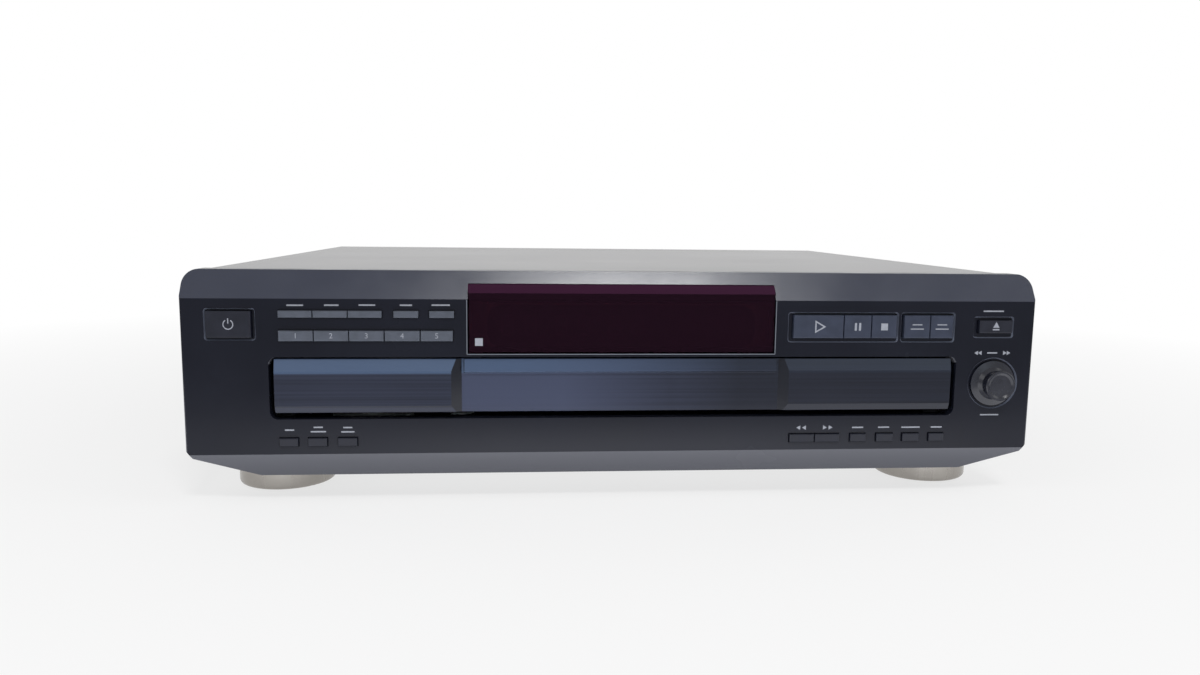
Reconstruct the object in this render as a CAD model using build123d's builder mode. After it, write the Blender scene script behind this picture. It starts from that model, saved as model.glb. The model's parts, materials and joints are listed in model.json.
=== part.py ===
"""Five-disc front-loading compact disc changer, in millimetres.

X is to the right as one faces the front, Y to the back, Z up. The origin is on the floor under the middle of
the machine. Depths are measured back from the front face, at Y = face_y.
"""

import math
import os

from build123d import *

os.makedirs("parts", exist_ok=True)

# ---- Overall ----
width = 430.0  # front panel, the usual width of a hi-fi component
height = 116.9  # floor to the top edge of the front panel
body_depth = 367.6  # front face to the back of the rear panel
dial_proud = 9.0  # the dial stands out most at the front
jack_proud = 9.5  # the sockets stand out most at the back
face_y = (dial_proud - body_depth - jack_proud) / 2
left, right = -width / 2, width / 2  # ends of the front panel
fit = 0.3  # gap all round a moving plastic piece
running = 0.05  # radial clearance of a shaft in its bore
seat = 0.2  # gap between a stopped piece and its stop

# ---- Front panel ----
panel_bottom = 14.5
panel_depth = 18.0
panel_wall = 2.5
panel_top_radius = 7.0
band_bottom = 103.2  # the sloping band along the top starts here
band_lean = 8.0
chin_top = 25.8  # below this line the face slopes under
chin_lean = 3.0
end_bottom = 27.8  # the straight sides end here
end_slant = (right - 3.0, 23.8)
chin_end = right - 35.0
edge_round = 0.8

# ---- Sheet metal ----
sheet = 1.2
cover_inset = 3.0  # the panel stands out past the cover at each side
cover_drop = 0.8  # and above it
cover_width = width - 2 * cover_inset
cover_top = height - cover_drop
cover_bottom = 20.0  # lower edges of the cover's sides
cover_bend = 3.0
floor_bottom = 15.5  # underside of the floor pan, top of the feet
floor_top = floor_bottom + sheet
pan_flange = 14.0
side_screw_z = 24.5
side_screw_depths = (60.0, 280.0)
rear_screw_x = right - 75.0
rear_screw_z = cover_top - 8.1
vent_x = 118.0
inner_half = cover_width / 2 - sheet  # half the width inside the cover
ceiling = cover_top - sheet
rear_depth = body_depth - sheet  # depth of the rear panel's inner face

# ---- Feet ----
foot_x = right - 37.0
foot_depths = (47.0, 325.0)
foot_radius = 25.0
foot_round = 2.0
floor_half = foot_x + foot_radius + 0.5  # the floor is flat this far out, then slopes up to its sides
foot_lift = 0.8  # gap between the cup's rim and the floor
pad_radius = 17.0
pad_height = 3.0

# ---- Display window ----
window_x = (left + 137.55, right - 137.55)
window_z = (76.2, 110.8)
window_bevel = 106.3  # the glass leans back above this line
window_frame = 1.2
glass = 2.5
tube_height = 22.0  # fluorescent display behind the glass
tube_half = window_x[1] - 9.45
window_ear = 2.4

# ---- Front board ----
board_depth = 14.0  # front of the circuit board
board = 1.6
board_half = right - 7.0
board_arm = 29.5  # width of the arms beside the tray
board_z = (27.0, 41.0, 77.5, 101.0)  # bottom, top of the lower arms, bottom and top of the upper strip
lower_arm_inner = (left + 88.0, right - 134.0)
switch = 4.5
switch_thick = 3.0
press_gap = 0.25  # from a pressed button's stem to its switch
stem = 2.4

# ---- Buttons: left, right, bottom, top of each cap ----
button_proud = 1.4
button_travel = 1.0
button_round = 0.5
button_lip = 1.3
split = 0.4  # gap between neighbouring caps
upper_row = (94.05, 97.5)
disc_row = (82.5, 87.7)
lower_row = (30.0, 34.2)
transport_row = (84.2, 96.0)
power_button = (left + 12.4, left + 33.6, 84.2, 97.2)
power_travel = 2.5
mode_edges = [left + step for step in (46.2, 62.7, 79.5, 96.1)]
repeat_button = (left + 101.6, left + 113.6)
disc_check_button = (left + 118.9, left + 131.0)
disc_edges = [left + step for step in (46.1, 63.0, 79.9, 97.0, 114.4, 130.5)]
transport_edges = [right - step for step in (128.4, 102.0, 87.5, 74.0)]
exchange_edges = [right - step for step in (70.4, 56.4, 44.0)]
open_button = (right - 30.1, right - 12.3, 86.8, 93.5)
seek_edges = [right - step for step in (128.4, 115.0, 101.6)]
lower_buttons = {
    "time_button": (left + 45.2, left + 54.3),
    "edit_button": (left + 59.0, left + 68.3),
    "peak_button": (left + 73.5, left + 82.9),
    "check_button": (right - 96.0, right - 87.6),
    "clear_button": (right - 82.1, right - 73.1),
    "scan_button": (right - 68.1, right - 59.2),
    "fader_button": (right - 53.9, right - 45.8),
}

# ---- Recesses round the buttons: left, right, bottom, top ----
recess_deep = 0.9
recess_round = 1.5
recess_slope = 32.0  # degrees that a recess's walls lean out
power_recess = (left + 11.1, left + 35.5, 82.7, 98.4)
transport_recess = (right - 130.8, right - 72.8, 81.9, 97.4)
exchange_recess = (right - 71.6, right - 42.7, 81.9, 97.4)
open_recess = (right - 32.7, right - 11.1, 84.2, 95.4)

# ---- Jog dial ----
dial_x = right - 20.5
dial_z = 60.4
dial_skirt = 11.75  # radius
dial_groove = 13.5
dial_cap = 7.75
dial_neck = 6.9
dial_push = 0.6
shaft_radius = 3.0
shaft_cover = 3.0  # cap thickness over the shaft's end
dish = 0.7  # hollow of the dial's face
dial_deep = 1.0  # the skirt ends this far behind the panel wall
encoder = 12.0
encoder_thick = 5.0

# ---- Tray opening and tray ----
slot_half = right - 40.8
slot_z = (43.4, 74.5)
slot_round = 4.0
slot_lip = 1.6
slot_lip_deep = 5.5
tray_travel = 190.0
tray_half = slot_half - 7.2
tray_hollow = 120.0  # the front corners are hollow this far back
tongue_start = 12.0
tray_z = (49.0, 51.0)  # floor of the tray
tray_top = 68.0
tray_wall = 2.0
tray_back = 351.0
tray_tongue = 4.0  # side tongues that run in the rails
door_half = slot_half - 2.2
door_z = (46.3, 73.4)
door_ledge = 49.85
door_brow = 67.2  # the top of the door leans back above this line
door_thick = 6.0
door_front = 0.4
door_step = 2.5  # the middle is set back this far
door_middle = window_x[1] + 3.35
door_slant = 5.0
door_lip = (door_middle - 1.3, 66.0)  # half width and bottom of the finger lip
door_lean = 1.2
tray_slot = (33.0, 246.0)  # half width and front end of the rear slot
tray_corner = (70.0, 262.0)  # where the slanted rear corners end and begin

# ---- Carousel ----
carousel_depth = 185.0  # depth of its axis when the tray is in
carousel_radius = tray_half - 2.4
carousel_z = (62.0, 69.0)
pockets = 5
pocket_radius = 60.3
pocket_circle = carousel_radius - pocket_radius - 1.3
pocket_floor = 66.4
small_radius = 40.3  # recess for the small disc size
small_floor = 65.2
slot_width = 56.0
slot_inner = 66.0  # radius where the radial slots begin
hub_radius = 22.0
hub_top = 72.5
post_radius = 5.0
ring_z = (52.0, 58.0)
ring_neck = 57.5
ring_thick = 4.0
drive_pulley_radius = 10.0
drive_motor_pulley_radius = 4.0
drive_motor_radius = 11.0
drive_motor_spot = (95.0, 245.0)  # radius and angle about the carousel
drive_spot_angle = 225.0
gear_module = 1.5
ring_teeth = 80
pinion_teeth = 16
rack_teeth_pinion = 24
pressure_angle = 20.0
backlash = 0.3

# ---- Base unit: laser pickup on a hinged frame, drawn raised and level ----
spindle_depth = carousel_depth + pocket_circle
hinge_depth = 357.0
hinge_z = 60.0
lift_angle = 13.3  # it rests this far down
base_half = 25.0
base_front = 262.0
base_back = 361.5
base_z = (49.0, 61.0)
base_wall = 2.0
table_radius = 14.0
table_top = 72.5
table_nose = 7.4
table_nose_tall = 2.1
sled_start = 24.0  # lens to spindle, pickup fully in
sled_half = 8.0
sled_shaft_x = 17.0
sled_shaft_radius = 1.5
sled_shaft_z = 56.0
sled_width = 20.5
spindle_motor_radius = 11.0
spindle_radius = 1.0
hinge_pin_radius = 2.0
hinge_post = (27.0, 33.0)
cam_plate = (26.4, 28.4)
cam_pin = (300.0, 51.5)  # depth and height of the lifting pin, raised
cam_pin_radius = 1.5
cam_travel = 18.0
cam_play = 0.35

# ---- Clamp over the raised disc ----
clamp_gap = 1.4
nose_play = 0.8
clamper_radius = 16.0
clamper_neck = 8.0
bridge_z = (79.0, 81.0)
bridge_depths = (spindle_depth - 18, spindle_depth + 18)

# ---- Loading mechanism ----
rail_inner = tray_half + 1.0
rail_outer = tray_half + 9.5
rail_z = (33.0, 62.0)
rail_depths = (22.0, 290.0)
deck_z = (30.0, 33.0)  # deck of the mechanism base
deck_tail = 60.0
deck_back = 362.0
deck_well = (25.7, 258.0, 350.0)  # half width, front and back of the well for the base unit
leg_radius = 6.0
leg_x = tray_half - 17.0
legs = ((-leg_x, 40.0), (leg_x, 40.0), (-leg_x, 270.0), (leg_x, 270.0), (-50.0, 352.0), (50.0, 352.0))
deck_window = (120.0, 130.0)  # windows that lighten the deck
deck_window_x = tray_half - 82.0
deck_window_depth = 165.0
rack_x = -leg_x
loader_depth = 50.0
loader_post = 4.0
loader_motor_step = 48.0
motor_shaft = 1.0
belt = 1.6
pulley_tall = 3.6
rack_rib = 2.6
pulley_radius = 20.0
motor_pulley_radius = 5.0
motor_radius = 12.0

# ---- Electronics and fixings ----
pillars = (
    (left + 9.5, 80.0),
    (left + 116.3, 90.9),
    (right - 131.6, 90.0),
    (right - 37.7, 90.0),
    (right - 9.5, 80.0),
    (left + 63.6, 38.5),
    (right - 106.0, 38.5),
)
pillar_radius = 1.6
standoff = 5.3
main_board_x = (right - 149.0, right - 9.0)
main_board_gap = 1.9  # to the rear panel
main_board_depths = (rear_depth - main_board_gap - 67.5, rear_depth - main_board_gap)
chip_across = (22.0, 22.0)
chip_spot = (-40.0, 33.0)  # from the board's middle and its front edge
parts_spot = (0.0, 25.0)
parts_across = (16.0, 8.0)
parts_pitch = (26.0, 18.0)
chip_tall = 3.0
capacitor_spot = (-10.0, 53.0)
capacitor_radius = 5.0
capacitor_tall = 16.0
transformer_x = (left + 9.0, left + 63.0)
transformer_depths = (rear_depth - 64.4, rear_depth - 16.4)
transformer_yoke = 9.0  # the winding stands this far in from the core's ends
transformer_lip = 6.0
transformer_base = 3.0
transformer_tall = 46.0
jack_x = (right - 31.5, right - 15.5)
jack_z = 38.0
jack_radius = 4.15
jack_bore = 1.6
jack_collar = 6.0  # moulded collar that fills the panel's hole
collar_proud = 0.8
gland_x = left + 37.0
gland_z = 34.0
gland_radius = 6.0
screw_radius = 1.5
screw_head = 3.4
screw_head_tall = 1.8
screw_long = 8.0
vent = (3.0, 30.0)


def behind(depth):
    """Plane parallel to the front face, this far behind it, seen from the front."""
    return Plane.XZ.offset(-(face_y + depth))


def block(x, depth, z, mode=Mode.ADD):
    """Adds or cuts a box given by its left and right, its depths behind the face, its bottom and top."""
    with Locations(((x[0] + x[1]) / 2, face_y + (depth[0] + depth[1]) / 2, (z[0] + z[1]) / 2)):
        Box(x[1] - x[0], depth[1] - depth[0], z[1] - z[0], mode=mode)


def window(x0, x1, z0, z1, radius=0.0, mode=Mode.ADD):
    """Adds or cuts a rectangle in a sketch that is seen from the front."""
    with Locations(((x0 + x1) / 2, (z0 + z1) / 2)):
        if radius:
            RectangleRounded(x1 - x0, z1 - z0, radius, mode=mode)
        else:
            Rectangle(x1 - x0, z1 - z0, mode=mode)


def inset(value, ends):
    """Step from an edge towards the middle of a span, as far as a standoff needs."""
    return 3 * pillar_radius if value == min(ends) else -3 * pillar_radius


def upright(x, depth, z0, z1, radius, mode=Mode.ADD):
    """Adds or cuts a vertical cylinder."""
    with Locations((x, face_y + depth, (z0 + z1) / 2)):
        Cylinder(radius, z1 - z0, mode=mode)


# ---- Button caps: name, left, right, bottom, top, travel ----
def row_of(names, edges, row):
    """Neighbouring caps that share one opening, with a fine split between them."""
    return [
        (name, left + split / 2, right - split / 2, row[0], row[1], button_travel)
        for name, left, right in zip(names, edges, edges[1:])
    ]


buttons = [("power_button", *power_button, power_travel)]
buttons += row_of(("mode_1_button", "mode_2_button", "mode_3_button"), mode_edges, upper_row)
buttons += [("repeat_button", *repeat_button, *upper_row, button_travel)]
buttons += [("disc_check_button", *disc_check_button, *upper_row, button_travel)]
buttons += row_of([f"disc_{n}_button" for n in range(1, 6)], disc_edges, disc_row)
buttons += row_of(("play_button", "pause_button", "stop_button"), transport_edges, transport_row)
buttons += row_of(("exchange_button", "skip_button"), exchange_edges, transport_row)
buttons += [("open_close_button", *open_button, button_travel)]
buttons += row_of(("seek_back_button", "seek_forward_button"), seek_edges, lower_row)
buttons += [(name, *ends, *lower_row, button_travel) for name, ends in lower_buttons.items()]

# ---- Front panel: one moulded shell, open at the back ----
with BuildPart() as front_panel:
    with BuildSketch(Plane.YZ):
        with BuildLine():
            Polyline(
                (face_y + chin_lean, panel_bottom),
                (face_y, chin_top),
                (face_y, band_bottom),
                (face_y + band_lean, height),
                (face_y + panel_depth, height),
                (face_y + panel_depth, panel_bottom),
                close=True,
            )
        make_face()
    extrude(amount=width / 2, both=True)
    with BuildSketch(behind(panel_depth)) as outline:
        with BuildLine():
            Polyline(
                (-width / 2, height),
                (-width / 2, end_bottom),
                (-end_slant[0], end_slant[1]),
                (-chin_end, panel_bottom),
                (chin_end, panel_bottom),
                end_slant,
                (width / 2, end_bottom),
                (width / 2, height),
                close=True,
            )
        make_face()
        fillet(outline.vertices().group_by(Axis.Y)[-1], panel_top_radius)
    extrude(amount=2 * panel_depth, mode=Mode.INTERSECT)
    # the front's rim is rounded over
    rim = front_panel.faces().sort_by(Axis.Y)[0].edges().filter_by(Axis.Z)
    fillet(rim, edge_round)
    offset(amount=-panel_wall, openings=front_panel.faces().sort_by(Axis.Y)[-1])
    # tray opening with a lip behind it
    with BuildSketch(behind(panel_wall)):
        lip_half = slot_half + slot_lip
        window(-lip_half, lip_half, slot_z[0] - slot_lip, slot_z[1] + slot_lip, slot_round)
    extrude(amount=-slot_lip_deep)
    with BuildSketch(behind(0)):
        window(-slot_half, slot_half, *slot_z, slot_round)
    extrude(amount=-(panel_wall + slot_lip_deep), mode=Mode.SUBTRACT)
    # display opening
    with BuildSketch(behind(0)):
        window(*window_x, *window_z)
    extrude(amount=-panel_depth / 2, mode=Mode.SUBTRACT)
    # shallow recesses round the larger buttons
    with BuildSketch(behind(0)):
        for recess in (power_recess, transport_recess, exchange_recess, open_recess):
            window(*recess, recess_round)
        with Locations((dial_x, dial_z)):
            Circle(dial_groove)
    extrude(amount=-recess_deep, taper=recess_slope, mode=Mode.SUBTRACT)
    # openings for the buttons and the dial
    with BuildSketch(behind(0)):
        for name, left, right, bottom, top, travel in buttons:
            window(left - fit, right + fit, bottom - fit, top + fit)
        with Locations((dial_x, dial_z)):
            Circle(dial_skirt + fit)
    extrude(amount=-panel_wall, mode=Mode.SUBTRACT)
    # pillars for the circuit board
    with BuildSketch(behind(panel_wall)):
        with Locations(*pillars):
            Circle(pillar_radius)
    extrude(amount=-(board_depth - panel_wall))
front_panel.part.label = "front_panel"
export_step(front_panel.part, "parts/front_panel.step")

# ---- Display window: smoked lens that follows the face and the sloping band ----
band_slope = band_lean / (height - band_bottom)
lens_top = window_z[1] - fit
lens_back = (lens_top - band_bottom) * band_slope
with BuildPart() as display_window:
    with BuildSketch(Plane.YZ):
        with BuildLine():
            Polyline(
                (face_y, window_z[0] + running),
                (face_y, window_bevel),
                (face_y + lens_back, lens_top),
                (face_y + lens_back + glass, lens_top),
                (face_y + glass, window_bevel),
                (face_y + glass, window_z[0] + running),
                close=True,
            )
        make_face()
    extrude(amount=window_x[1] - running, both=True)
    front_edges = display_window.faces().sort_by(Axis.Y)[0].edges()
    chamfer(front_edges.filter_by(Axis.Z) + front_edges.sort_by(Axis.Z)[:1], window_frame / 2)
    # ears that seat it against the back of the panel
    for side in (-1, 1):
        ear = sorted((side * (window_x[1] - running - glass), side * (window_x[1] + window_ear)))
        block(ear, (glass, 2 * glass), (window_z[0] + 3 * glass, band_bottom - 2 * glass))
display_window.part.label = "display_window"
export_step(display_window.part, "parts/display_window.step")

def case_ends(half, top):
    """Section of the floor pan and the rear panel, whose lower corners slope like the front panel's."""
    return Polyline(
        (-half, top), (-half, cover_bottom), (-floor_half, floor_bottom), (floor_half, floor_bottom),
        (half, cover_bottom), (half, top), close=True,
    )


# ---- Top cover: folded steel sheet ----
with BuildPart() as top_cover:
    with BuildSketch(behind(panel_depth)) as fold:
        window(-cover_width / 2, cover_width / 2, cover_bottom, cover_top)
        fillet(fold.vertices().group_by(Axis.Y)[-1], cover_bend)
        offset(amount=-sheet, mode=Mode.SUBTRACT)
        window(-inner_half, inner_half, cover_bottom, cover_bottom + 2 * sheet, mode=Mode.SUBTRACT)
    extrude(amount=-(body_depth - panel_depth))
    with Locations(*[Location((0, face_y + depth, side_screw_z), (0, 90, 0)) for depth in side_screw_depths]):
        Cylinder(screw_radius + fit, 2 * cover_width, mode=Mode.SUBTRACT)
top_cover.part.label = "top_cover"
export_step(top_cover.part, "parts/top_cover.step")

# ---- Floor pan: sheet with turned-up edges, vents and board standoffs ----
pan_half = inner_half - seat
pan_depths = (panel_depth + fit, rear_depth - seat)
pan_middle = face_y + sum(pan_depths) / 2
main_board_z = floor_top + standoff
board_corners = [
    (x + inset(x, main_board_x), face_y + depth + inset(depth, main_board_depths))
    for x in main_board_x
    for depth in main_board_depths
]
with BuildPart() as floor_pan:
    with BuildSketch(behind(pan_depths[0])):
        with BuildLine():
            case_ends(pan_half, floor_bottom + pan_flange)
        make_face()
    extrude(amount=pan_depths[0] - pan_depths[1])
    offset(amount=-sheet, openings=[floor_pan.faces().sort_by(axis)[-1] for axis in (Axis.Z, Axis.Y)])
    with BuildSketch(Plane.XY.offset(floor_bottom)):
        with Locations((vent_x, pan_middle), (-vent_x, pan_middle)):
            with GridLocations(vent[0] * 3, 0, 8, 1):
                SlotOverall(vent[1], vent[0], rotation=90)
    extrude(amount=sheet, mode=Mode.SUBTRACT)
    with BuildSketch(Plane.XY.offset(floor_top)):
        with Locations(*board_corners):
            Circle(pillar_radius * 2)
    extrude(amount=standoff)
    with Locations(*[Location((0, face_y + depth, side_screw_z), (0, 90, 0)) for depth in side_screw_depths]):
        Cylinder(screw_radius + running, 2 * cover_width, mode=Mode.SUBTRACT)
floor_pan.part.label = "floor_pan"
export_step(floor_pan.part, "parts/floor_pan.step")

# ---- Rear panel: sheet with holes for the sockets, the cord gland and air ----
with BuildPart() as rear_panel:
    with BuildSketch(behind(body_depth)) as back:
        with BuildLine():
            case_ends(pan_half, ceiling - seat)
        make_face()
        fillet(back.vertices().group_by(Axis.Y)[-1], cover_bend - sheet)
        with Locations(*[(x, jack_z) for x in jack_x]):
            Circle(jack_collar + running, mode=Mode.SUBTRACT)
        with Locations((gland_x, gland_z)):
            Circle(gland_radius + running, mode=Mode.SUBTRACT)
        with Locations(*[(x, rear_screw_z) for x in (-rear_screw_x, 0, rear_screw_x)]):
            Circle(screw_radius + running, mode=Mode.SUBTRACT)
        with Locations((-vent_x - rear_screw_x / 4, (gland_z + ceiling) / 2)):
            with GridLocations(vent[0] * 3, 0, 6, 1):
                SlotOverall(vent[1], vent[0], rotation=90, mode=Mode.SUBTRACT)
    extrude(amount=sheet)
    # ledge along the top that the cover screws pull against
    block((-pan_half + cover_bend, pan_half - cover_bend), (rear_depth - 2 * pan_flange / 3, rear_depth),
          (ceiling - seat - sheet, ceiling - seat))
rear_panel.part.label = "rear_panel"
export_step(rear_panel.part, "parts/rear_panel.step")

# ---- Feet: plated cups with felt pads ----
foot_places = [(side * foot_x, depth) for side in (-1, 1) for depth in foot_depths]
with BuildPart() as feet:
    for x, depth in foot_places:
        upright(x, depth, foot_lift, floor_bottom, foot_radius)
    fillet(feet.edges().filter_by(GeomType.CIRCLE).group_by(Axis.Z)[0], foot_round)
    for x, depth in foot_places:
        upright(x, depth, foot_lift, pad_height, pad_radius + fit, Mode.SUBTRACT)
feet.part.label = "feet"
export_step(feet.part, "parts/feet.step")

with BuildPart() as foot_pads:
    for x, depth in foot_places:
        upright(x, depth, 0, pad_height, pad_radius)
    chamfer(foot_pads.edges().group_by(Axis.Z)[0], foot_lift / 2)
foot_pads.part.label = "foot_pads"
export_step(foot_pads.part, "parts/foot_pads.step")

# ---- Cover screws: four in the sides, three in the back ----
screw_spots = [
    Location((side * (cover_width / 2 + screw_head_tall), face_y + depth, side_screw_z), (0, side * 90, 0))
    for side in (-1, 1)
    for depth in side_screw_depths
]
screw_spots += [
    Location((x, face_y + body_depth + screw_head_tall, rear_screw_z), (-90, 0, 0))
    for x in (-rear_screw_x, 0, rear_screw_x)
]
with BuildPart() as cover_screws:
    with Locations(*screw_spots):
        Cylinder(screw_head, screw_head_tall, align=(Align.CENTER, Align.CENTER, Align.MAX))
        Cylinder(screw_radius, screw_head_tall + screw_long, align=(Align.CENTER, Align.CENTER, Align.MAX))
        with Locations((0, 0, 0)):
            Box(screw_head * 1.3, screw_head * 0.25, screw_head_tall, mode=Mode.SUBTRACT)
            Box(screw_head * 0.25, screw_head * 1.3, screw_head_tall, mode=Mode.SUBTRACT)
cover_screws.part.label = "cover_screws"
export_step(cover_screws.part, "parts/cover_screws.step")

# ---- Front board: one circuit board round the tray opening, with its switches and display tube ----
switch_top = board_depth - switch_thick
with BuildPart() as front_board:
    with BuildSketch(behind(board_depth)):
        window(-board_half, board_half, board_z[2], board_z[3])
        for side in (-1, 1):
            window(*sorted((side * board_half, side * (board_half - board_arm))), board_z[0], board_z[3])
        window(-board_half, lower_arm_inner[0], board_z[0], board_z[1])
        window(lower_arm_inner[1], board_half, board_z[0], board_z[1])
    extrude(amount=-board)
    with BuildSketch(behind(board_depth)):
        for name, left, right, bottom, top, travel in buttons:
            with Locations(((left + right) / 2, (bottom + top) / 2)):
                Rectangle(switch, switch)
    extrude(amount=switch_thick)
    # rotary encoder behind the dial
    with BuildSketch(behind(board_depth)):
        with Locations((dial_x, dial_z)):
            Rectangle(encoder, encoder)
    extrude(amount=encoder_thick)
    with BuildSketch(behind(board_depth - encoder_thick)):
        with Locations((dial_x, dial_z)):
            Circle(shaft_radius + running)
    extrude(amount=-(encoder_thick + board), mode=Mode.SUBTRACT)
    # display tube
    block((-tube_half, tube_half), (2 * glass + fit, board_depth), (board_z[3] - tube_height, board_z[3]))
front_board.part.label = "front_board"
export_step(front_board.part, "parts/front_board.step")

# ---- Buttons: cap, lips behind the panel, stem to the switch ----
for name, left, right, bottom, top, travel in buttons:
    lip_depth = panel_wall + seat
    stem_end = switch_top - travel - press_gap
    with BuildPart() as button:
        with BuildSketch(behind(lip_depth)):
            window(left, right, bottom, top)
        extrude(amount=lip_depth + button_proud)
        fillet(button.faces().sort_by(Axis.Y)[0].edges(), button_round)
        with BuildSketch(behind(lip_depth)):
            window(left, right, bottom - button_lip, top + button_lip)
        extrude(amount=-button_lip)
        with BuildSketch(behind(lip_depth)):
            with Locations(((left + right) / 2, (bottom + top) / 2)):
                Rectangle(stem, stem)
        extrude(amount=-(stem_end - lip_depth))
    button.part.label = name
    export_step(button.part, f"parts/{name}.step")

# ---- Jog dial on its encoder shaft ----
with BuildPart() as dial_shaft:
    with BuildSketch(behind(board_depth - dial_push - seat)):
        with Locations((dial_x, dial_z)):
            Circle(shaft_radius)
    extrude(amount=board_depth - dial_push - seat + dial_proud - shaft_cover)
dial_shaft.part.label = "dial_shaft"
export_step(dial_shaft.part, "parts/dial_shaft.step")

dial_back = panel_wall + dial_deep
with BuildPart() as jog_dial:
    with BuildSketch(Plane((dial_x, face_y, dial_z), x_dir=(1, 0, 0), z_dir=(0, 0, 1))):
        with BuildLine():
            Polyline(
                (0, -dial_proud + dish),
                (dial_cap * 0.72, -dial_proud + dish),
                (dial_cap * 0.86, -dial_proud),
                (dial_cap - 0.4, -dial_proud),
                (dial_cap, -dial_proud + 0.5),
                (dial_cap, -dial_proud + 2.2),
                (dial_neck, -dial_proud + 3.4),
                (dial_neck, -dial_proud + 6.2),
                (dial_neck + 1.6, -1.0),
                (dial_skirt, -0.2),
                (dial_skirt, dial_back),
                (0, dial_back),
                close=True,
            )
        make_face()
    revolve(axis=Axis((dial_x, face_y, dial_z), (0, 1, 0)))
    with BuildSketch(behind(dial_back)):
        with Locations((dial_x, dial_z)):
            Circle(shaft_radius + running)
    extrude(amount=dial_back + dial_proud - shaft_cover + running, mode=Mode.SUBTRACT)
jog_dial.part.label = "jog_dial"
export_step(jog_dial.part, "parts/jog_dial.step")

# ---- Loading mechanism ----
def half_tooth(teeth, radius):
    """Half the angle of an involute tooth at a radius, thinned for backlash."""
    pitch = teeth * gear_module / 2
    angle = math.radians(pressure_angle)
    at = math.acos(min(1.0, pitch * math.cos(angle) / radius))
    return math.pi / teeth / 2 - backlash / pitch / 2 + math.tan(angle) - angle - math.tan(at) + at


def gear_points(teeth, phase):
    """Corners of a spur gear about the origin; each flank is two chords of its involute."""
    pitch = teeth * gear_module / 2
    radii = (pitch - 1.25 * gear_module, pitch, pitch + 0.9 * gear_module)
    points = []
    for tooth in range(teeth):
        middle = phase + math.tau * tooth / teeth
        flank = [(radius, half_tooth(teeth, radius)) for radius in radii]
        for radius, half in flank:
            points.append((radius * math.cos(middle - half), radius * math.sin(middle - half)))
        for radius, half in reversed(flank):
            points.append((radius * math.cos(middle + half), radius * math.sin(middle + half)))
    return points


def gear_sketch(teeth, x, depth, phase=0.0):
    """Adds a spur gear's outline to a horizontal sketch."""
    with BuildLine() as rim:
        Polyline(*[(x + px, face_y + depth + py) for px, py in gear_points(teeth, phase)], close=True)
    make_face(rim.edges())


def pulley(x, depth, z0, radius, bore):
    """Adds a grooved belt pulley that stands on z0; returns its top."""
    flange = (pulley_tall - belt) / 2 - fit / 2
    top = z0 + pulley_tall
    upright(x, depth, z0, top, radius)
    upright(x, depth, z0, z0 + flange, radius + belt + fit)
    upright(x, depth, top - flange, top, radius + belt + fit)
    upright(x, depth, z0, top, bore + running, Mode.SUBTRACT)
    return top


def belt_loop(first, second, z0):
    """Adds a belt round two pulleys, each given by its place and radius: circles joined by their tangents."""
    across = (second[0] - first[0], second[1] - first[1])
    heading = math.atan2(across[1], across[0])
    lean = math.acos((first[2] - second[2]) / math.hypot(*across))
    for extra, mode in ((belt + running, Mode.ADD), (running, Mode.SUBTRACT)):
        corners = [
            (
                x + (radius + extra) * math.cos(heading + turn),
                face_y + depth + (radius + extra) * math.sin(heading + turn),
            )
            for x, depth, radius, turn in (
                (*first, lean), (*second, lean), (*second, -lean), (*first, -lean)
            )
        ]
        with BuildSketch(Plane.XY.offset(z0 + (pulley_tall - belt) / 2)) as loop:
            with BuildLine():
                Polyline(*corners, close=True)
            make_face()
            for x, depth, radius in (first, second):
                with Locations((x, face_y + depth)):
                    Circle(radius + extra)
        extrude(loop.sketch, amount=belt, mode=mode)


tooth_pitch = math.pi * gear_module
loader_radius = rack_teeth_pinion * gear_module / 2
loader_x = rack_x + loader_radius
loader_motor_x = loader_x + loader_motor_step
loader_z = deck_z[1] + fit
rack_z = (tray_z[0] - 4.5, tray_z[0])

with BuildPart() as mechanism_base:
    with BuildSketch(Plane.XY.offset(deck_z[0])):
        with Locations((0, face_y + sum(rail_depths) / 2)):
            Rectangle(2 * rail_outer, rail_depths[1] - rail_depths[0])
        with Locations((0, face_y + (rail_depths[1] + deck_back) / 2)):
            Rectangle(2 * deck_tail, deck_back - rail_depths[1])
        # windows that lighten the deck, and the well for the base unit
        with Locations(*[(side * deck_window_x, face_y + deck_window_depth) for side in (-1, 1)]):
            RectangleRounded(*deck_window, 10, mode=Mode.SUBTRACT)
        with Locations((0, face_y + sum(deck_well[1:]) / 2)):
            Rectangle(2 * deck_well[0], deck_well[2] - deck_well[1], mode=Mode.SUBTRACT)
        with Locations((loader_motor_x, face_y + loader_depth)):
            Circle(motor_shaft + fit, mode=Mode.SUBTRACT)
    extrude(amount=deck_z[1] - deck_z[0])
    for side in (-1, 1):
        block(sorted((side * rail_inner, side * rail_outer)), rail_depths, rail_z)
        block(sorted((side * rail_inner, side * (tray_half + tray_tongue + fit))), rail_depths,
              (tray_z[1] - 1 - fit, tray_z[1] + 1 + fit), Mode.SUBTRACT)
        block(sorted((side * hinge_post[0], side * hinge_post[1])), (hinge_depth - 4, hinge_depth + 4),
              (deck_z[1], hinge_z + 5))
    with BuildSketch(Plane.XY.offset(floor_top)):
        with Locations(*[(x, face_y + depth) for x, depth in legs]):
            Circle(leg_radius)
    extrude(amount=deck_z[0] - floor_top)
    upright(loader_x, loader_depth, deck_z[1], rack_z[0] + 3, loader_post)
    # wall that guides the lift slider
    block((cam_plate[1] + fit, cam_plate[1] + fit + 2), (268, 336), (deck_z[1], deck_z[1] + 9))
    with Locations(Location((0, face_y + hinge_depth, hinge_z), (0, 90, 0))):
        Cylinder(hinge_pin_radius + running, 2 * hinge_post[1], mode=Mode.SUBTRACT)
mechanism_base.part.label = "mechanism_base"
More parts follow.
